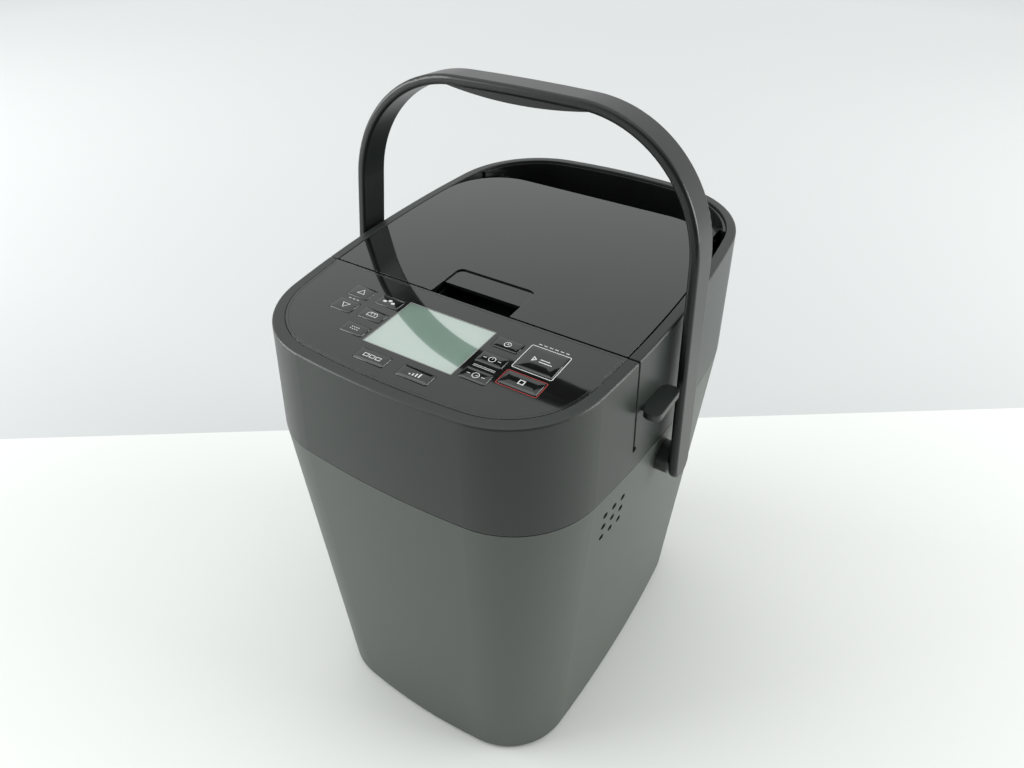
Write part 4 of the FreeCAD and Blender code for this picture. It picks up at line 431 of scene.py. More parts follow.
# %% [markdown]
# ## Metals
# Sheet steel and drawn parts show fine lines from rolling or drawing, so their noise is
# stretched hard along one direction: along x on sheet, and along z, the way up, on the shafts
# and on the walls of the baking chamber. Slow stains dull the colour a little.

# %% Metals
ALONG_X, ALONG_Z = (1.0, 40.0, 40.0), (40.0, 40.0, 1.0)
LINE_TONE, STAIN_TONE, LINE_ROUGHNESS = 0.5, 0.4, 0.22
STAIN_SIZE, DULLED = 50 * MM, 0.75
LINE_DEPTH, LINE_STRENGTH, SHEET_EDGE = 0.02 * MM, 0.5, 0.3 * MM


def brushed(name, colour, roughness, along=ALONG_X, size=20 * MM):
    shader = Shader(name, Metallic=1.0)
    lines = shader.noise(size, 3.0, stretch=along, roughness=0.7)
    stains = shader.noise(STAIN_SIZE)
    shader.set("Base Color", shader.mix(lines * LINE_TONE + stains * STAIN_TONE, rgb(*colour),
                                        scaled(colour, DULLED)))
    shader.set("Roughness", roughness + (lines - 0.5) * LINE_ROUGHNESS)
    shader.relief(lines, LINE_DEPTH, LINE_STRENGTH, SHEET_EDGE)
    return shader.material


rolled_steel = brushed("rolled steel", (0.56, 0.57, 0.57), 0.32)
turned_steel = brushed("turned steel", (0.62, 0.62, 0.63), 0.22, ALONG_Z)
chamber_steel = brushed("chamber steel", (0.50, 0.49, 0.47), 0.34, ALONG_Z, 30 * MM)
plate_aluminium = brushed("plate aluminium", (0.66, 0.66, 0.67), 0.36)
brass = brushed("brass", (0.60, 0.46, 0.20), 0.28, ALONG_Z)
print("rolled steel has", len(rolled_steel.node_tree.nodes), "nodes")

# %% [markdown]
# ## Cast, coated and rubber parts
# Cast aluminium, enamel and the pan's non-stick coating have a pebbled skin instead of lines, and
# so has rubber, which is also dark and rough. The coating is sprinkled with pale specks: a cell
# pattern gives the distance to the nearest of many points, and a speck is where it is small.

# %% Pebbled finishes
SPECK_SPACING, SPECK_TONE = 2.4 * MM, 0.8
PATCH_SIZE, PATCH_DARK = 30 * MM, 0.72
PEBBLE_ROUGHNESS, PEBBLE_STRENGTH, CAST_EDGE = 0.15, 0.5, 0.4 * MM


def pebbled(name, colour, roughness, metallic=0.0, size=0.9 * MM, depth=0.08 * MM,
            speck=0.0, speck_colour=rgb(0.16, 0.16, 0.17)):
    shader = Shader(name, Metallic=metallic)
    bumps = shader.noise(size)
    patches = shader.noise(PATCH_SIZE, 3.0)
    base = shader.mix(patches, rgb(*colour), scaled(colour, PATCH_DARK))
    if speck:
        grains = shader.node("ShaderNodeTexVoronoi", {}, {"Vector": shader.place,
                                                         "Scale": 1 / SPECK_SPACING})
        base = shader.mix((grains < speck) * SPECK_TONE, base, speck_colour)
    shader.set("Base Color", base)
    shader.set("Roughness", roughness + (bumps - 0.5) * PEBBLE_ROUGHNESS)
    shader.relief(bumps, depth, PEBBLE_STRENGTH, CAST_EDGE)
    return shader.material


cast_aluminium = pebbled("cast aluminium", (0.56, 0.56, 0.58), 0.42, metallic=1.0)
coating = pebbled("non-stick coating", (0.035, 0.035, 0.037), 0.34, size=1.6 * MM,
                  depth=0.03 * MM, speck=0.16)
heater_skin = pebbled("oxidised heater skin", (0.085, 0.080, 0.082), 0.55, metallic=0.6)
enamel = pebbled("motor enamel", (0.10, 0.105, 0.11), 0.38)
foot_rubber = pebbled("foot rubber", (0.022, 0.022, 0.022), 0.82, size=0.7 * MM)
seal_rubber = pebbled("silicone", (0.115, 0.115, 0.118), 0.55, size=1.2 * MM, depth=0.03 * MM)
belt_rubber = pebbled("belt rubber", (0.018, 0.018, 0.018), 0.72)
print("non-stick coating has", len(coating.node_tree.nodes), "nodes")

# %% [markdown]
# ## Circuit boards
# The boards are green laminate under a solder mask. Copper tracks show through it as a slightly
# lighter net, which a brick pattern gives, and tinned pads are rows of bright dots.

# %% Circuit board
TRACK_GAP, TRACK_LENGTH, TRACK_PITCH = 0.5 * MM, 9 * MM, 3.1 * MM
PAD_SPACING, PAD_SIZE, PAD_SCATTER = 5 * MM, 0.17, 0.35
MASK_GREEN, TRACK_GREEN = rgb(0.012, 0.075, 0.030), rgb(0.030, 0.135, 0.055)
TIN, TIN_METALLIC, TIN_SMOOTHER = rgb(0.60, 0.58, 0.54), 0.9, 0.08
TRACK_TONE, MASK_ROUGHNESS = 0.7, 0.34
TRACK_HEIGHT, TRACK_STRENGTH, BOARD_EDGE = 0.04 * MM, 0.6, 0.2 * MM


def laminate(name):
    shader = Shader(name)
    tracks = shader.node("ShaderNodeTexBrick", {"offset": 0.37, "offset_frequency": 3},
                         {"Vector": shader.place, "Scale": 1.0, "Mortar Size": TRACK_GAP,
                          "Brick Width": TRACK_LENGTH, "Row Height": TRACK_PITCH}, "Fac")
    pads = shader.node("ShaderNodeTexVoronoi", {},
                       {"Vector": shader.place, "Scale": 1 / PAD_SPACING,
                        "Randomness": PAD_SCATTER})
    tinned = pads < PAD_SIZE
    mask = shader.mix(tracks * TRACK_TONE, MASK_GREEN, TRACK_GREEN)
    shader.set("Base Color", shader.mix(tinned, mask, TIN))
    shader.set("Metallic", tinned * TIN_METALLIC)
    shader.set("Roughness", MASK_ROUGHNESS - tinned * TIN_SMOOTHER)
    shader.relief(tracks + tinned, TRACK_HEIGHT, TRACK_STRENGTH, BOARD_EDGE)
    return shader.material


board = laminate("circuit board")
print("board tracks", round(TRACK_PITCH / MM, 1), "mm apart")

# %% [markdown]
# ## Finishes on the CAD pieces
# Pieces whose shape is right as it is keep their mesh and only get a finish. Each name in the
# table below is a node of the frame, and its mesh holds one material slot that is refilled.

# %% Give the CAD pieces their finishes
FINISHES = {
    casing_plastic: "lower_casing base_plate",
    band_plastic: "upper_casing handle_pivots handle_stops mouth_frame",
    recess_gloss: "hinge_cover",
    handle_plastic: "carrying_handle",
    grip_plastic: "handle_grip",
    lid_gloss: "lid_panel lid_grip",
    panel_gloss: "control_panel",
    film_gloss: "panel_film",
    display_surface: "lcd_window",
    inner_plastic: "lid_frame lcd_module",
    dispenser_plastic: "raisin_box yeast_box raisin_flap yeast_flap",
    part_plastic: "buzzer flap_solenoid",
    pulley_plastic: "large_pulley",
    plate_aluminium: "lid_plate",
    rolled_steel: "chassis heat_shield",
    turned_steel: "hinge_pins drive_shaft pan_shaft pan_handle temperature_sensor",
    chamber_steel: "baking_chamber",
    cast_aluminium: "drive_coupling motor_pulley bearing_housing",
    brass: "pan_bush",
    coating: "bread_pan kneading_blade",
    heater_skin: "heater",
    enamel: "motor",
    foot_rubber: "cord_grommet",
    belt_rubber: "belt",
    board: "control_board power_board",
}
for material, names in FINISHES.items():
    for name in names.split():
        slots = frame["nodes"][name].data.materials
        slots.clear()
        slots.append(material)
print(sum(len(names.split()) for names in FINISHES.values()), "CAD pieces finished")

# %% [markdown]
# ## Making pieces
# New pieces are built as plain meshes in the machine's frame. One helper turns a bmesh into a
# mesh with its faces outwards, and another makes an object of it, gives it its finish and tells
# the frame which body carries it.

# %% Helpers for new pieces
SMOOTH_BELOW = 35  # degrees between two faces


def closed_mesh(name, shape):
    """A mesh from a closed bmesh, with its faces pointing outwards."""
    bmesh.ops.recalc_face_normals(shape, faces=shape.faces)
    mesh = bpy.data.meshes.new(name)
    shape.to_mesh(mesh)
    shape.free()
    return mesh


def settle(name, mesh, material, body, smooth=SMOOTH_BELOW):
    """An object from a mesh, riding on a body; faces meet smoothly below an angle in degrees."""
    mesh.materials.clear()
    mesh.materials.append(material)
    mesh.shade_smooth()
    mesh.set_sharp_from_angle(angle=math.radians(smooth))
    made = scene_object(name, mesh)
    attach(made, body)
    return made


def deck_piece(name, shape, material, body, slot):
    """A finished piece from a bmesh that was drawn in deck coordinates."""
    bmesh.ops.transform(shape, matrix=DECK, verts=shape.verts)
    return settle(name, closed_mesh(name, shape), material, body)


print("pieces can be made")

# %% [markdown]
# Most new shapes are stacks: closed rings of points, one above the other, joined by walls and
# capped at both ends. A key is a stack of rounded rectangles and a foot a stack of circles. A
# rounded rectangle is four quarter circles whose ends are joined by straight sides.

# %% Rings and stacks
SMALLEST_CORNER = 0.02 * MM


def circle_points(x, y, radius, count=20):
    turns = [2 * math.pi * index / count for index in range(count)]
    return [(x + radius * math.cos(angle), y + radius * math.sin(angle)) for angle in turns]


def rounded_rectangle(centre, width, depth, radius, steps=6):
    """Points of a rounded rectangle, anticlockwise from the right-hand side."""
    radius = max(radius, SMALLEST_CORNER)
    points = []
    for quarter, (sx, sy) in enumerate(((1, 1), (-1, 1), (-1, -1), (1, -1))):
        cx = centre[0] + sx * (width / 2 - radius)
        cy = centre[1] + sy * (depth / 2 - radius)
        for step in range(steps + 1):
            angle = math.pi / 2 * (quarter + step / steps)
            points.append((cx + radius * math.cos(angle), cy + radius * math.sin(angle)))
    return points


def wall(shape, below, above):
    """Faces between two loops of as many points each."""
    for index in range(len(below)):
        following = (index + 1) % len(below)
        shape.faces.new((below[index], below[following], above[following], above[index]))


def stack(shape, rings):
    """A closed solid through rings of points, each ring at its own height."""
    loops = [[shape.verts.new((x, y, height)) for x, y in ring] for ring, height in rings]
    for below, above in zip(loops, loops[1:]):
        wall(shape, below, above)
    shape.faces.new(loops[0][::-1])
    shape.faces.new(loops[-1])


print("a corner of six steps has", len(rounded_rectangle((0, 0), 1, 1, 0.2)) // 4, "points")

# %% [markdown]
# ## Keys
# Each key is a small cap whose top bulges slightly and whose edge is soft all round, with a thin
# flange below that keeps it in the panel. Rings of rounded rectangles, each a little smaller and
# higher than the last, give that pillow edge exactly, which a box with a bevel would not.

# %% Key caps
FLANGE, FLANGE_THICK = 1.0 * MM, 0.6 * MM
KEY_CORNER, KEY_SOFT, KEY_CROWN = 1.2 * MM, 0.45 * MM, 0.12 * MM
SOFT_STEPS = 4
SHOULDER_INSET, SHOULDER_DROP, CROWN_INSET = 0.14, 0.35, 0.40
LARGE_KEYS = ("key_start", "key_cancel")
key_spots = {}


def key_slot(name):
    return "key_large" if name in LARGE_KEYS else "key_black"


def key_rings(middle, width, depth, bottom, top):
    """Rings of a cap from its flange to its crown, each with its height."""
    def ring(grow):
        return rounded_rectangle(middle, width + 2 * grow, depth + 2 * grow, KEY_CORNER + grow)

    shoulder = top - KEY_CROWN
    rings = [(ring(FLANGE), bottom), (ring(FLANGE), bottom + FLANGE_THICK),
             (ring(0), bottom + FLANGE_THICK), (ring(0), shoulder - KEY_SOFT)]
    for step in range(1, SOFT_STEPS + 1):
        angle = math.pi / 2 * step / SOFT_STEPS
        rings.append((ring(-KEY_SOFT * (1 - math.cos(angle))),
                      shoulder - KEY_SOFT * (1 - math.sin(angle))))
    rings.append((ring(-width * SHOULDER_INSET), top - KEY_CROWN * SHOULDER_DROP))
    rings.append((ring(-min(width, depth) * CROWN_INSET), top))
    return rings


for name in sorted(name for name in frame["nodes"] if name.startswith("key_")):
    key_low, key_high = deck_box(name)
    middle = (key_low + key_high) / 2
    width, depth = (side - 2 * FLANGE for side in (key_high - key_low).xy)
    key_spots[name] = (middle.x, middle.y, width, depth, key_high.z)
    cap = bmesh.new()
    stack(cap, key_rings(middle, width, depth, key_low.z, key_high.z))
    made = deck_piece("cap_" + name[4:], cap, key_gloss, name + "_cap", key_slot(name))
    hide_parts(name)
print(len(key_spots), "key caps")

# %% [markdown]
# ## Printed marks
# The panel is printed with small pictures. They are ribbons of ink with a real thickness of a few
# hundredths of a millimetre, so that they are pieces in their own right. A ribbon follows its
# points at a constant width: at a bend, its two edges lie on the line that halves the corner, and
# they are spread so that the width holds on both sides of it.

# %% Ribbons of ink
INK_THICK = 0.06 * MM
FINE, BOLD, BAR = 0.42 * MM, 0.62 * MM, 0.9 * MM
SHARPEST = 0.4
BLOB_POINTS = 14


def ribbon(shape, points, width, height, closed=False):
    """A flat printed line through points, as a thin solid of constant width."""
    count = len(points)
    nowhere = Vector((0, 0))
    pairs = []
    for index, point in enumerate(points):
        here = Vector(point)
        before = Vector(points[index - 1]) if closed or index else here
        after = Vector(points[(index + 1) % count]) if closed or index < count - 1 else here
        ahead = (after - here).normalized() if (after - here).length else nowhere
        behind = (here - before).normalized() if (here - before).length else nowhere
        along = (ahead + behind).normalized()
        side = Vector((-along.y, along.x))
        edge = ahead if ahead.length else behind
        spread = max(SHARPEST, abs(side.dot(Vector((-edge.y, edge.x)))))
        reach = side * width / 2 / spread
        pairs.append((here + reach, here - reach))
    following = pairs[1:] + pairs[:1] if closed else pairs[1:]
    for (a, b), (c, d) in zip(pairs, following):
        stack(shape, [([b, d, c, a], height - INK_THICK), ([b, d, c, a], height)])


def blob(shape, x, y, radius, height, stretch):
    """A printed dot, longer from left to right when it is stretched."""
    ring = [(x + dx * stretch, y + dy) for dx, dy in circle_points(0, 0, radius, BLOB_POINTS)]
    stack(shape, [(ring, height - INK_THICK), (ring, height)])


print("ink", round(INK_THICK / MM, 2), "mm thick")

# %% [markdown]
# All pictures are plain symbols: arrows, grains, a loaf, bars, a clock. They are kept in a table
# of strokes, in millimetres from the middle of the key, with a second table for the dots. A mark
# on a key moves with that key.


# %% Pictures on the keys
def upright(x, y, half_width, half_height):
    """Corners of a rectangle around a point."""
    return [(x - half_width, y - half_height), (x + half_width, y - half_height),
            (x + half_width, y + half_height), (x - half_width, y + half_height)]


LOAF = [(-3.4, -1.6), (3.4, -1.6), (3.4, 0.4), (2.6, 1.6), (-2.6, 1.6), (-3.4, 0.4)]
CLOCK = circle_points(0, 0, 2.0)
DASHES = [([(x - 1.0, 0), (x + 1.0, 0)], False) for x in (-4.6, 4.6)]
STROKES = {  # each stroke: its points, and whether it closes
    "key_up": [([(-2.6, -1.7), (2.6, -1.7), (0, 2.3)], True)],
    "key_down": [([(-2.6, 1.7), (0, -2.3), (2.6, 1.7)], True)],
    "key_crust": [(LOAF, True), ([(-1.2, 1.4), (-1.2, -0.2)], False),
                  ([(1.2, 1.4), (1.2, -0.2)], False)],
    "key_process": [(upright(x, 0, 1.5, 1.1), True) for x in (-4.2, 0, 4.2)],
    "key_level": [([(x, -1.6), (x, top)], False)
                  for x, top in ((-3, -0.6), (-1, 0.2), (1, 1.0), (3, 1.8))],
    "key_timer": [(CLOCK, True), ([(0, 1.3), (0, 0), (0.9, 0)], False)],
    "key_hour": [(CLOCK, True), ([(0, 0.9), (0, 0)], False), *DASHES],
    "key_minute": [(CLOCK, True), ([(0, 0), (1.3, 0)], False), *DASHES],
    "key_start": [([(-5.4, -1.6), (-5.4, 1.6), (-3.4, 0)], True),
                  ([(-1.4, -1.0), (6.6, -1.0)], False), ([(-1.4, 1.0), (4.6, 1.0)], False)],
    "key_cancel": [(upright(0, 0, 1.5, 1.5), True)],
}
STROKE_WIDTHS = {"key_level": BAR, "key_start": BOLD, "key_cancel": BOLD}
DOTS = {  # radius and stretch, then the dots' middles
    "key_raisin": (1.0, 1.35, [(-3.0, -0.6), (0, 0.9), (3.0, -0.6)]),
    "key_yeast": (0.42, 1.0, [(x, y) for x in (-2.4, -0.8, 0.8, 2.4) for y in (-0.9, 0.9)]),
}
for name, (key_x, key_y, _, _, top) in key_spots.items():
    mark, height = bmesh.new(), top + INK_THICK * 0.5
    for points, closed in STROKES.get(name, ()):
        ribbon(mark, [(key_x + x * MM, key_y + y * MM) for x, y in points],
               STROKE_WIDTHS.get(name, FINE), height, closed)
    radius, stretch, dots = DOTS.get(name, (0, 1, ()))
    for x, y in dots:
        blob(mark, key_x + x * MM, key_y + y * MM, radius * MM, height, stretch)
    deck_piece("mark_" + name[4:], mark, white_ink, name + "_cap", key_slot(name))
print("marks on", len(key_spots), "keys")

# %% [markdown]
# The film itself carries a white frame round the start key, a red one round the cancel key, a pair
# of fine lines between the hour and the minute keys, and short dashes where the panel groups its
# functions. The display window has a pale frame line.

# %% Marks on the film
FILM_TOP = deck_box("panel_film")[1].z + INK_THICK * 0.6
FRAME_GAP, FRAME_LINE, FRAME_CORNER = 0.75 * MM, 0.5 * MM, 1.0 * MM
PAIR_OFFSET, DASHES_ABOVE = 0.55 * MM, 3.0 * MM


def frame_line(shape, name):
    """A rounded line round a key."""
    x, y, width, depth, _ = key_spots[name]
    ring = rounded_rectangle((x, y), width + 2 * FRAME_GAP, depth + 2 * FRAME_GAP,
                             FRAME_CORNER, steps=4)
    ribbon(shape, ring, FRAME_LINE, FILM_TOP, closed=True)


def level_lines(shape, x, y, half, width, count=1, pitch=0.0):
    """Level lines side by side, centred on a point."""
    for index in range(count):
        line_x = x + (index - (count - 1) / 2) * pitch
        ribbon(shape, [(line_x - half, y), (line_x + half, y)], width, FILM_TOP)


film_print = bmesh.new()
frame_line(film_print, "key_start")
hour_x, hour_y = key_spots["key_hour"][:2]
minute_y = key_spots["key_minute"][1]
for offset in (-PAIR_OFFSET, PAIR_OFFSET):
    level_lines(film_print, hour_x, (hour_y + minute_y) / 2 + offset, half=7 * MM,
                width=0.3 * MM)
start_x, start_y, _, start_depth, _ = key_spots["key_start"]
level_lines(film_print, start_x, start_y + start_depth / 2 + DASHES_ABOVE, half=1.1 * MM,
            width=0.55 * MM, count=6, pitch=3.4 * MM)
up_x, up_y = key_spots["key_up"][:2]
down_y = key_spots["key_down"][1]
level_lines(film_print, up_x, (up_y + down_y) / 2, half=0.9 * MM, width=0.5 * MM, count=3,
            pitch=3.0 * MM)
deck_piece("film_marks", film_print, white_ink, "casing", "film")

red_print = bmesh.new()
frame_line(red_print, "key_cancel")
deck_piece("cancel_frame", red_print, red_ink, "casing", "film")
print("film printed at", round(FILM_TOP / MM, 2), "mm from the deck")

# %% [markdown]
# The window's frame line lies just outside the glass, so its ring is a little larger than the
# window itself, which is measured in deck coordinates.

# %% Frame line of the display
WINDOW_GROW, WINDOW_CORNER = 0.7 * MM, 0.3 * MM
window_low, window_high = deck_box("lcd_window")
window_width, window_depth = (window_high - window_low).xy
window_print = bmesh.new()
ring = rounded_rectangle((window_low + window_high) / 2, window_width + WINDOW_GROW,
                         window_depth + WINDOW_GROW, WINDOW_CORNER, steps=3)
ribbon(window_print, ring, FRAME_LINE, FILM_TOP, closed=True)
deck_piece("display_frame_line", window_print, grey_ink, "casing", "film")
print("display", round(window_width / MM, 1), "by", round(window_depth / MM, 1), "mm")

# %% [markdown]
# ## Repeated pieces with Geometry Nodes
# The base stands on four rubber pads and is held by four screws. They repeat, so one template is
# made for each, and a node tree puts a copy on every point of a small cloud. The tree realises
# its instances, sets the finish, and is then turned into a plain mesh. Two helpers make an empty
# tree with named inputs and join its nodes, and a third runs a tree on a mesh.


# %% Helpers for node trees
def new_tree(name, inputs):
    """A tree with geometry in and out, and named inputs of the kinds given."""
    tree = bpy.data.node_groups.new(name, "GeometryNodeTree")
    sockets = [("Geometry", "INPUT", "Geometry")]
    sockets += [(title, "INPUT", kind) for title, kind in inputs.items()]
    sockets.append(("Geometry", "OUTPUT", "Geometry"))
    for title, way, kind in sockets:
        tree.interface.new_socket(title, in_out=way, socket_type="NodeSocket" + kind)
    return tree


def join(tree, links):
    """Link sockets; each row is a node, its output, the next node and that node's input."""
    for giver, output, taker, entry in links:
        tree.links.new(giver.outputs[output], taker.inputs[entry])


def run_tree(name, tree, mesh, values, material, body, smooth=SMOOTH_BELOW):
    """Evaluate a node tree on a mesh and keep the result as a plain piece."""
    source = scene_object(name + "_source", mesh)
    modifier = source.modifiers.new("nodes", "NODES")
    modifier.node_group = tree
    identifiers = {item.name: item.identifier for item in tree.interface.items_tree
                   if item.in_out == "INPUT"}
    for title, value in {**values, "Finish": material}.items():
        modifier[identifiers[title]] = value
    bpy.context.view_layer.update()
    graph = bpy.context.evaluated_depsgraph_get()
    result = bpy.data.meshes.new_from_object(source.evaluated_get(graph), depsgraph=graph)
    bpy.data.objects.remove(source)
    return settle(name, result, material, body, smooth)


print("node trees can be built and run")

# %% [markdown]
# Each copy is turned about the upright axis by its own number times one angle, so that the cross
# slots of the screws do not all point the same way.


# %% A tree that copies a template to points
def copies_tree():
    tree = new_tree("copies on points", {"Template": "Object", "Scale": "Float",
                                         "Turn each": "Float", "Finish": "Material"})
    add = tree.nodes.new
    start, end = add("NodeGroupInput"), add("NodeGroupOutput")
    cloud = add("GeometryNodeMeshToPoints")
    template = add("GeometryNodeObjectInfo")
    number = add("GeometryNodeInputIndex")
    angle = add("ShaderNodeMath")
    angle.operation = "MULTIPLY"
    turned = add("ShaderNodeCombineXYZ")
    copies = add("GeometryNodeInstanceOnPoints")
    real = add("GeometryNodeRealizeInstances")
    finish = add("GeometryNodeSetMaterial")
    join(tree, [
        (start, "Geometry", cloud, "Mesh"),
        (start, "Template", template, "Object"),
        (number, "Index", angle, 0),
        (start, "Turn each", angle, 1),
        (angle, 0, turned, "Z"),
        (cloud, "Points", copies, "Points"),
        (template, "Geometry", copies, "Instance"),
        (turned, "Vector", copies, "Rotation"),
        (start, "Scale", copies, "Scale"),
        (copies, "Instances", real, "Geometry"),
        (real, "Geometry", finish, "Geometry"),
        (start, "Finish", finish, "Material"),
        (finish, "Geometry", end, "Geometry"),
    ])
    return tree


def four_corners(name, corner_low, corner_high, radius, height):
    """A cloud of four points, where round pieces stand in the corners of a box."""
    mesh = bpy.data.meshes.new(name)
    mesh.from_pydata([(x, y, height) for x in (corner_low.x + radius, corner_high.x - radius)
                      for y in (corner_low.y + radius, corner_high.y - radius)], [], [])
    return mesh


copies = copies_tree()
print("copies tree of", len(copies.nodes), "nodes")

# %% [markdown]
# A foot is a turned rubber pad with a rounded edge and a shallow dish underneath, which grips the
# worktop like a suction cup. Its rings are circles, so the stacking helper makes it from a
# profile: each row is a share of the foot's radius and a share of its height.

# %% Feet
FOOT_RADIUS, FOOT_POINTS = 11.0 * MM, 48
FOOT_PROFILE = [(1.0, 1.0), (1.0, 0.32), (0.965, 0.12), (0.91, 0.02), (0.86, 0.0), (0.70, 0.0),
                (0.66, 0.10), (0.60, 0.16), (0.10, 0.18)]
foot_low, foot_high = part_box("feet")
foot_height = foot_high.z - foot_low.z
foot = bmesh.new()
stack(foot, [(circle_points(0, 0, FOOT_RADIUS * radius, FOOT_POINTS), foot_height * height)
             for radius, height in FOOT_PROFILE])
foot_template = scene_object("foot_template", closed_mesh("foot_template", foot))
feet = run_tree("rubber_feet", copies,
                four_corners("foot_points", foot_low, foot_high, FOOT_RADIUS, 0),
                {"Template": foot_template, "Scale": 1.0, "Turn each": 0.0},
                foot_rubber, "casing")
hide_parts("feet")
bpy.data.objects.remove(foot_template)
print("feet", round(foot_height / MM, 1), "mm high")

# %% [markdown]
# A screw head is a disc with a slightly smaller face and a cross-shaped recess. The face is
# filled between its outer edge and the mouth of the cross, and the cross narrows towards its
# floor, as a driver's tip does.

# %% Screws
SCREW_RADIUS, SCREW_POINTS, SCREW_TURN = 3.2 * MM, 32, 0.7
FACE_SHARE, SHOULDER_SHARE = 0.82, 0.45
ARM_SHARE, SLOT_SHARE = 0.52, 0.13
FLOOR_SHARE, RECESS_SHARE = 0.8, 0.7


def screw_head(radius, thick):
    """A pan head seen from below, with a cross recess."""
    shape = bmesh.new()

    def loop(points, height):
        return [shape.verts.new((x, y, height)) for x, y in points]

    outer = loop(circle_points(0, 0, radius * FACE_SHARE, SCREW_POINTS), 0.0)
    rim = loop(circle_points(0, 0, radius, SCREW_POINTS), thick * SHOULDER_SHARE)
    back = loop(circle_points(0, 0, radius, SCREW_POINTS), thick)
    arm, slot = radius * ARM_SHARE, radius * SLOT_SHARE
    cross = []
    for quarter in range(4):
        spin = Matrix.Rotation(math.pi / 2 * quarter, 2)
        cross += [spin @ Vector(point) for point in ((arm, -slot), (arm, slot), (slot, slot))]
    mouth = loop(cross, 0.0)
    floor = loop([point * FLOOR_SHARE for point in cross], thick * RECESS_SHARE)
    for first, second in ((outer, rim), (rim, back), (mouth, floor)):
        wall(shape, first, second)
    shape.faces.new(back)
    shape.faces.new(floor)
    edges = [shape.edges.get((ring[i], ring[(i + 1) % len(ring)]))
             for ring in (outer, mouth) for i in range(len(ring))]
    bmesh.ops.triangle_fill(shape, edges=edges, use_beauty=True)
    return shape


screw_low, screw_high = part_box("base_screws")
screw = screw_head(SCREW_RADIUS, screw_high.z - screw_low.z)
screw_template = scene_object("screw_template", closed_mesh("screw_template", screw))
screws = run_tree("base_screw_heads", copies,
                  four_corners("screw_points", screw_low, screw_high, SCREW_RADIUS, screw_low.z),
                  {"Template": screw_template, "Scale": 1.0, "Turn each": SCREW_TURN},
                  turned_steel, "casing")
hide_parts("base_screws")
bpy.data.objects.remove(screw_template)
print("screw heads", len(screws.data.polygons), "faces")

# %% [markdown]
# ## Lid seal
# The silicone ring under the lid is one profile that runs round a rounded rectangle: a square root
# held by the lid and a softer lip that meets the chamber's frame. That is a curve swept along a
# curve, which Geometry Nodes do with Curve to Mesh, so its sizes stay inputs.

# %% Seal tree
RING_STEPS, SECTION_STEPS = 16, 6
SEAL_SIZES = ("Width", "Depth", "Corner", "Section width", "Section height", "Section corner")


def seal_tree():
    tree = new_tree("swept ring", {**dict.fromkeys(SEAL_SIZES, "Float"), "Finish": "Material"})
    add = tree.nodes.new
    start, end = add("NodeGroupInput"), add("NodeGroupOutput")

    def rounded_loop(width, height, corner, steps):
        loop = add("GeometryNodeCurvePrimitiveQuadrilateral")
        bend = add("GeometryNodeFilletCurve")
        bend.mode = "POLY"
        bend.inputs["Count"].default_value = steps
        join(tree, [(start, width, loop, "Width"), (start, height, loop, "Height"),
                    (loop, "Curve", bend, "Curve"), (start, corner, bend, "Radius")])
        return bend

    path = rounded_loop(*SEAL_SIZES[:3], RING_STEPS)
    section = rounded_loop(*SEAL_SIZES[3:], SECTION_STEPS)
    sweep = add("GeometryNodeCurveToMesh")
    real = add("GeometryNodeRealizeInstances")
    finish = add("GeometryNodeSetMaterial")
    join(tree, [
        (path, "Curve", sweep, "Curve"),
        (section, "Curve", sweep, "Profile Curve"),
        (sweep, "Mesh", real, "Geometry"),
        (real, "Geometry", finish, "Geometry"),
        (start, "Finish", finish, "Material"),
        (finish, "Geometry", end, "Geometry"),
    ])
    return tree


swept = seal_tree()
print("seal tree of", len(swept.nodes), "nodes")

# %% [markdown]
# The root takes a little more than half of the seal's height and stays at the top, and the lip
# takes the rest. The lip is narrower and rounder. Both are swept flat at the origin and then
# moved into the deck's slope as meshes.

# %% Seal ring
SEAL_WIDTH, SEAL_CORNER = 4.0 * MM, 18.0 * MM
ROOT_SHARE, LIP_WIDTH = 0.55, 0.72
ROOT_CORNER, LIP_CORNER = 0.4 * MM, 1.1 * MM
seal_low, seal_high = deck_box("lid_seal")
seal_size, seal_middle = seal_high - seal_low, (seal_high + seal_low) / 2
root_height, lip_height = seal_size.z * ROOT_SHARE, seal_size.z * (1 - ROOT_SHARE)


def seal_ring(title, width, height, corner, level):
    """One swept ring whose middle lies at a level above the deck."""
    sizes = (seal_size.x - SEAL_WIDTH, seal_size.y - SEAL_WIDTH, SEAL_CORNER, width, height,
             corner)
    ring = run_tree("seal_" + title, swept, bpy.data.meshes.new("seal_seed"),
                    dict(zip(SEAL_SIZES, sizes)), seal_rubber, "lid",
                    smooth=60)
    ring.data.transform(DECK @ Matrix.Translation((seal_middle.x, seal_middle.y, level)))
    return ring


seal_root = seal_ring("root", SEAL_WIDTH, root_height, ROOT_CORNER,
                      seal_high.z - root_height / 2)
seal_lip = seal_ring("lip", SEAL_WIDTH * LIP_WIDTH, lip_height, LIP_CORNER,
                     seal_low.z + lip_height / 2)
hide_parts("lid_seal")
print("seal", len(seal_root.data.polygons), "and", len(seal_lip.data.polygons), "faces")

# %% [markdown]
# ## Studio
# The machine stands on a white table, and a slightly darker paper lies behind it. That darker
# tone is painted shade, as an upright wall there would get less light. Both are flat, so that the
# machine can be looked at from every side. Glossy black shows its surroundings, so the studio
# matters as much as the finish: what the lid mirrors is the bright room above the paper. The paper
# grows paler with its distance, which is painted light, so that its far end runs into that room.

# %% Floor and backdrop
ROOM = 8.0
BACK_DISTANCE, BACK_TURN = 0.2324, math.radians(35.7)
PAPER_REACH, PALER_FROM, PALER_FULL = 3.0, 0.08, 1.0
PAPER_ROUGHNESS, FIBRE_SIZE, FIBRE_TONE = 0.7, 0.4, 0.02


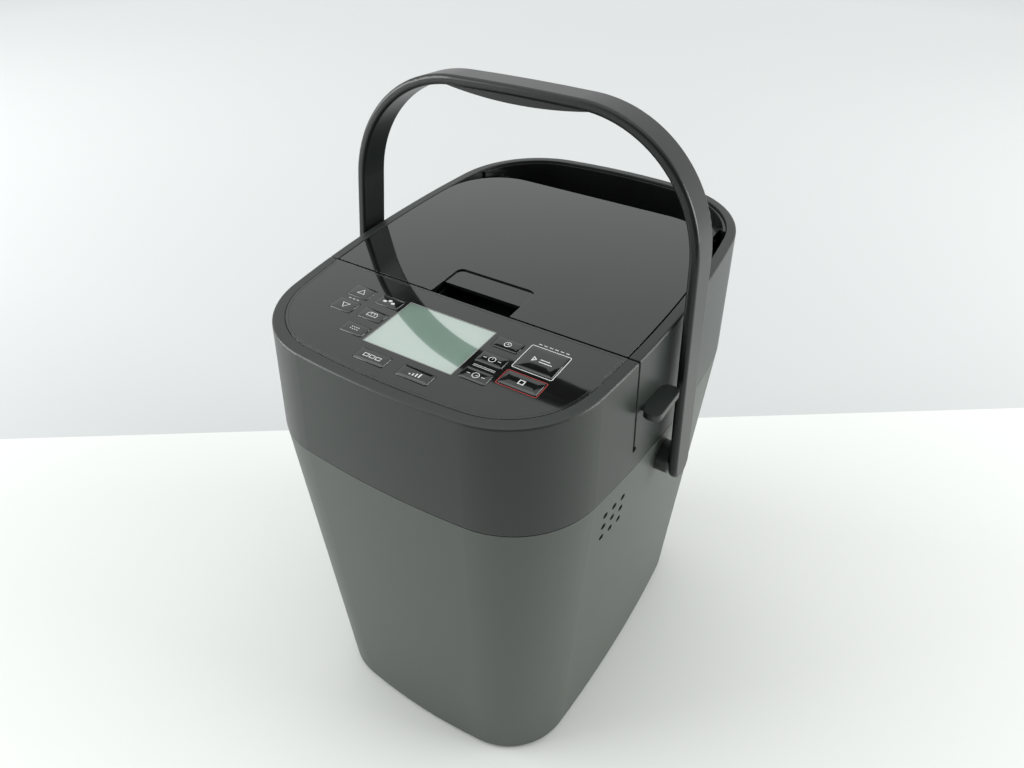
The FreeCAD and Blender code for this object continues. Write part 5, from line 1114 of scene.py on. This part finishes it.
def paper(name, near, far):
    """Matt paper with painted light: it grows paler with its distance from the machine."""
    shader = Shader(name, Roughness=PAPER_ROUGHNESS)
    distance = shader.node("ShaderNodeVectorMath", {"operation": "LENGTH"}, {0: shader.place},
                           "Value")
    # painted light: the paper's colour grows paler away from the machine
    shade = shader.ramp(distance / PAPER_REACH, PALER_FROM, PALER_FULL)
    fibre = shader.noise(FIBRE_SIZE, 3.0) * FIBRE_TONE
    shader.set("Base Color", shader.mix(shade + fibre, near, far))
    return shader.material


def stage_sheet(name, near_line, far_line, half_width, material):
    """A flat sheet between two level lines that run across the view."""
    corners = [near_line - half_width, near_line + half_width,
               far_line + half_width, far_line - half_width]
    mesh = bpy.data.meshes.new(name)
    mesh.from_pydata([tuple(corner) for corner in corners], [], [(0, 1, 2, 3)])
    mesh.materials.append(material)
    scene_object(name, mesh)


away = Vector((-math.sin(BACK_TURN), math.cos(BACK_TURN), 0))
half_width = Vector((away.y, -away.x, 0)) * ROOM
back_line = away * BACK_DISTANCE
stage_sheet("floor", back_line - away * ROOM, back_line, half_width,
            paper("white table", rgb(0.725, 0.735, 0.725), rgb(0.86, 0.87, 0.86)))
# the backdrop's darker near colour is painted shade, standing in for an upright wall
stage_sheet("backdrop", back_line, back_line + away * ROOM, half_width,
            paper("pale backdrop", rgb(0.520, 0.534, 0.541), rgb(0.93, 0.94, 0.945)))
print("backdrop begins", BACK_DISTANCE, "m behind the middle")

# %% [markdown]
# ## Lights
# Two large windows, one on the left and one on the right, light the side walls, and a soft source
# hangs overhead. The corner of the casing that faces the viewer gets little of either, so the
# casing reads as three sides. The lamps themselves are hidden from the camera.

# %% Lamps
LAMPS = {  # place, width and height, power in watts, colour
    "overhead": ((-0.3, -0.1, 2.2), (2.6, 2.6), 17, (1.0, 1.0, 0.985)),
    "left window": ((-2.1, -1.4, 0.9), (1.8, 1.4), 56, (0.97, 1.0, 0.98)),
    "right window": ((2.1, 1.0, 0.8), (1.4, 1.2), 46, (0.98, 1.0, 0.97)),
}
centre = (low + high) / 2
for name, (place, size, power, colour) in LAMPS.items():
    lamp_data = bpy.data.lights.new(name, "AREA")
    lamp_data.shape = "RECTANGLE"
    lamp_data.size, lamp_data.size_y = size
    lamp_data.energy, lamp_data.color = power, colour
    lamp = scene_object(name, lamp_data)
    lamp.location = place
    lamp.rotation_euler = (centre - Vector(place)).to_track_quat("-Z", "Y").to_euler()
    lamp.visible_camera = False
print(len(LAMPS), "lamps,", sum(power for _, _, power, _ in LAMPS.values()), "W in all")

# %% [markdown]
# The room's own light comes from all round, but less from the viewer's side, which keeps the
# front corner of the casing quiet. Seen directly, behind the machine, the room is always bright:
# a Light Path node tells a ray from the camera apart from one that lights a surface.

# %% Room light
ROOM_COLOUR = rgb(0.905, 0.925, 0.920)
ROOM_DARK, ROOM_BRIGHT = 0.12, 0.94
DARKER_FROM, DARKEST_FROM = 0.30, 0.95
VIEWER_HEIGHT = 0.12

world = bpy.data.worlds.new("room")
world.use_nodes = True
add = world.node_tree.nodes.new
background = world.node_tree.nodes["Background"]
background.inputs["Color"].default_value = ROOM_COLOUR
direction = add("ShaderNodeTexCoord")
facing = add("ShaderNodeVectorMath")
facing.operation = "DOT_PRODUCT"
facing.inputs[1].default_value = Vector((*CAMERA_PLACE.xy, VIEWER_HEIGHT)).normalized()
dimming = add("ShaderNodeMapRange")
dimming.interpolation_type = "SMOOTHSTEP"
for title, value in (("From Min", DARKER_FROM), ("From Max", DARKEST_FROM),
                     ("To Min", ROOM_BRIGHT), ("To Max", ROOM_DARK)):
    dimming.inputs[title].default_value = value
seen = add("ShaderNodeLightPath")
strength = add("ShaderNodeMix")
strength.inputs["B"].default_value = ROOM_BRIGHT
join(world.node_tree, [
    (direction, "Generated", facing, 0),
    (facing, "Value", dimming, "Value"),
    (seen, "Is Camera Ray", strength, "Factor"),
    (dimming, "Result", strength, "A"),
    (strength, "Result", background, "Strength"),
])
bpy.context.scene.world = world
bpy.context.scene.view_settings.view_transform = "Standard"
print("room light", ROOM_DARK, "to", ROOM_BRIGHT)

# %% The end
print("scene built")
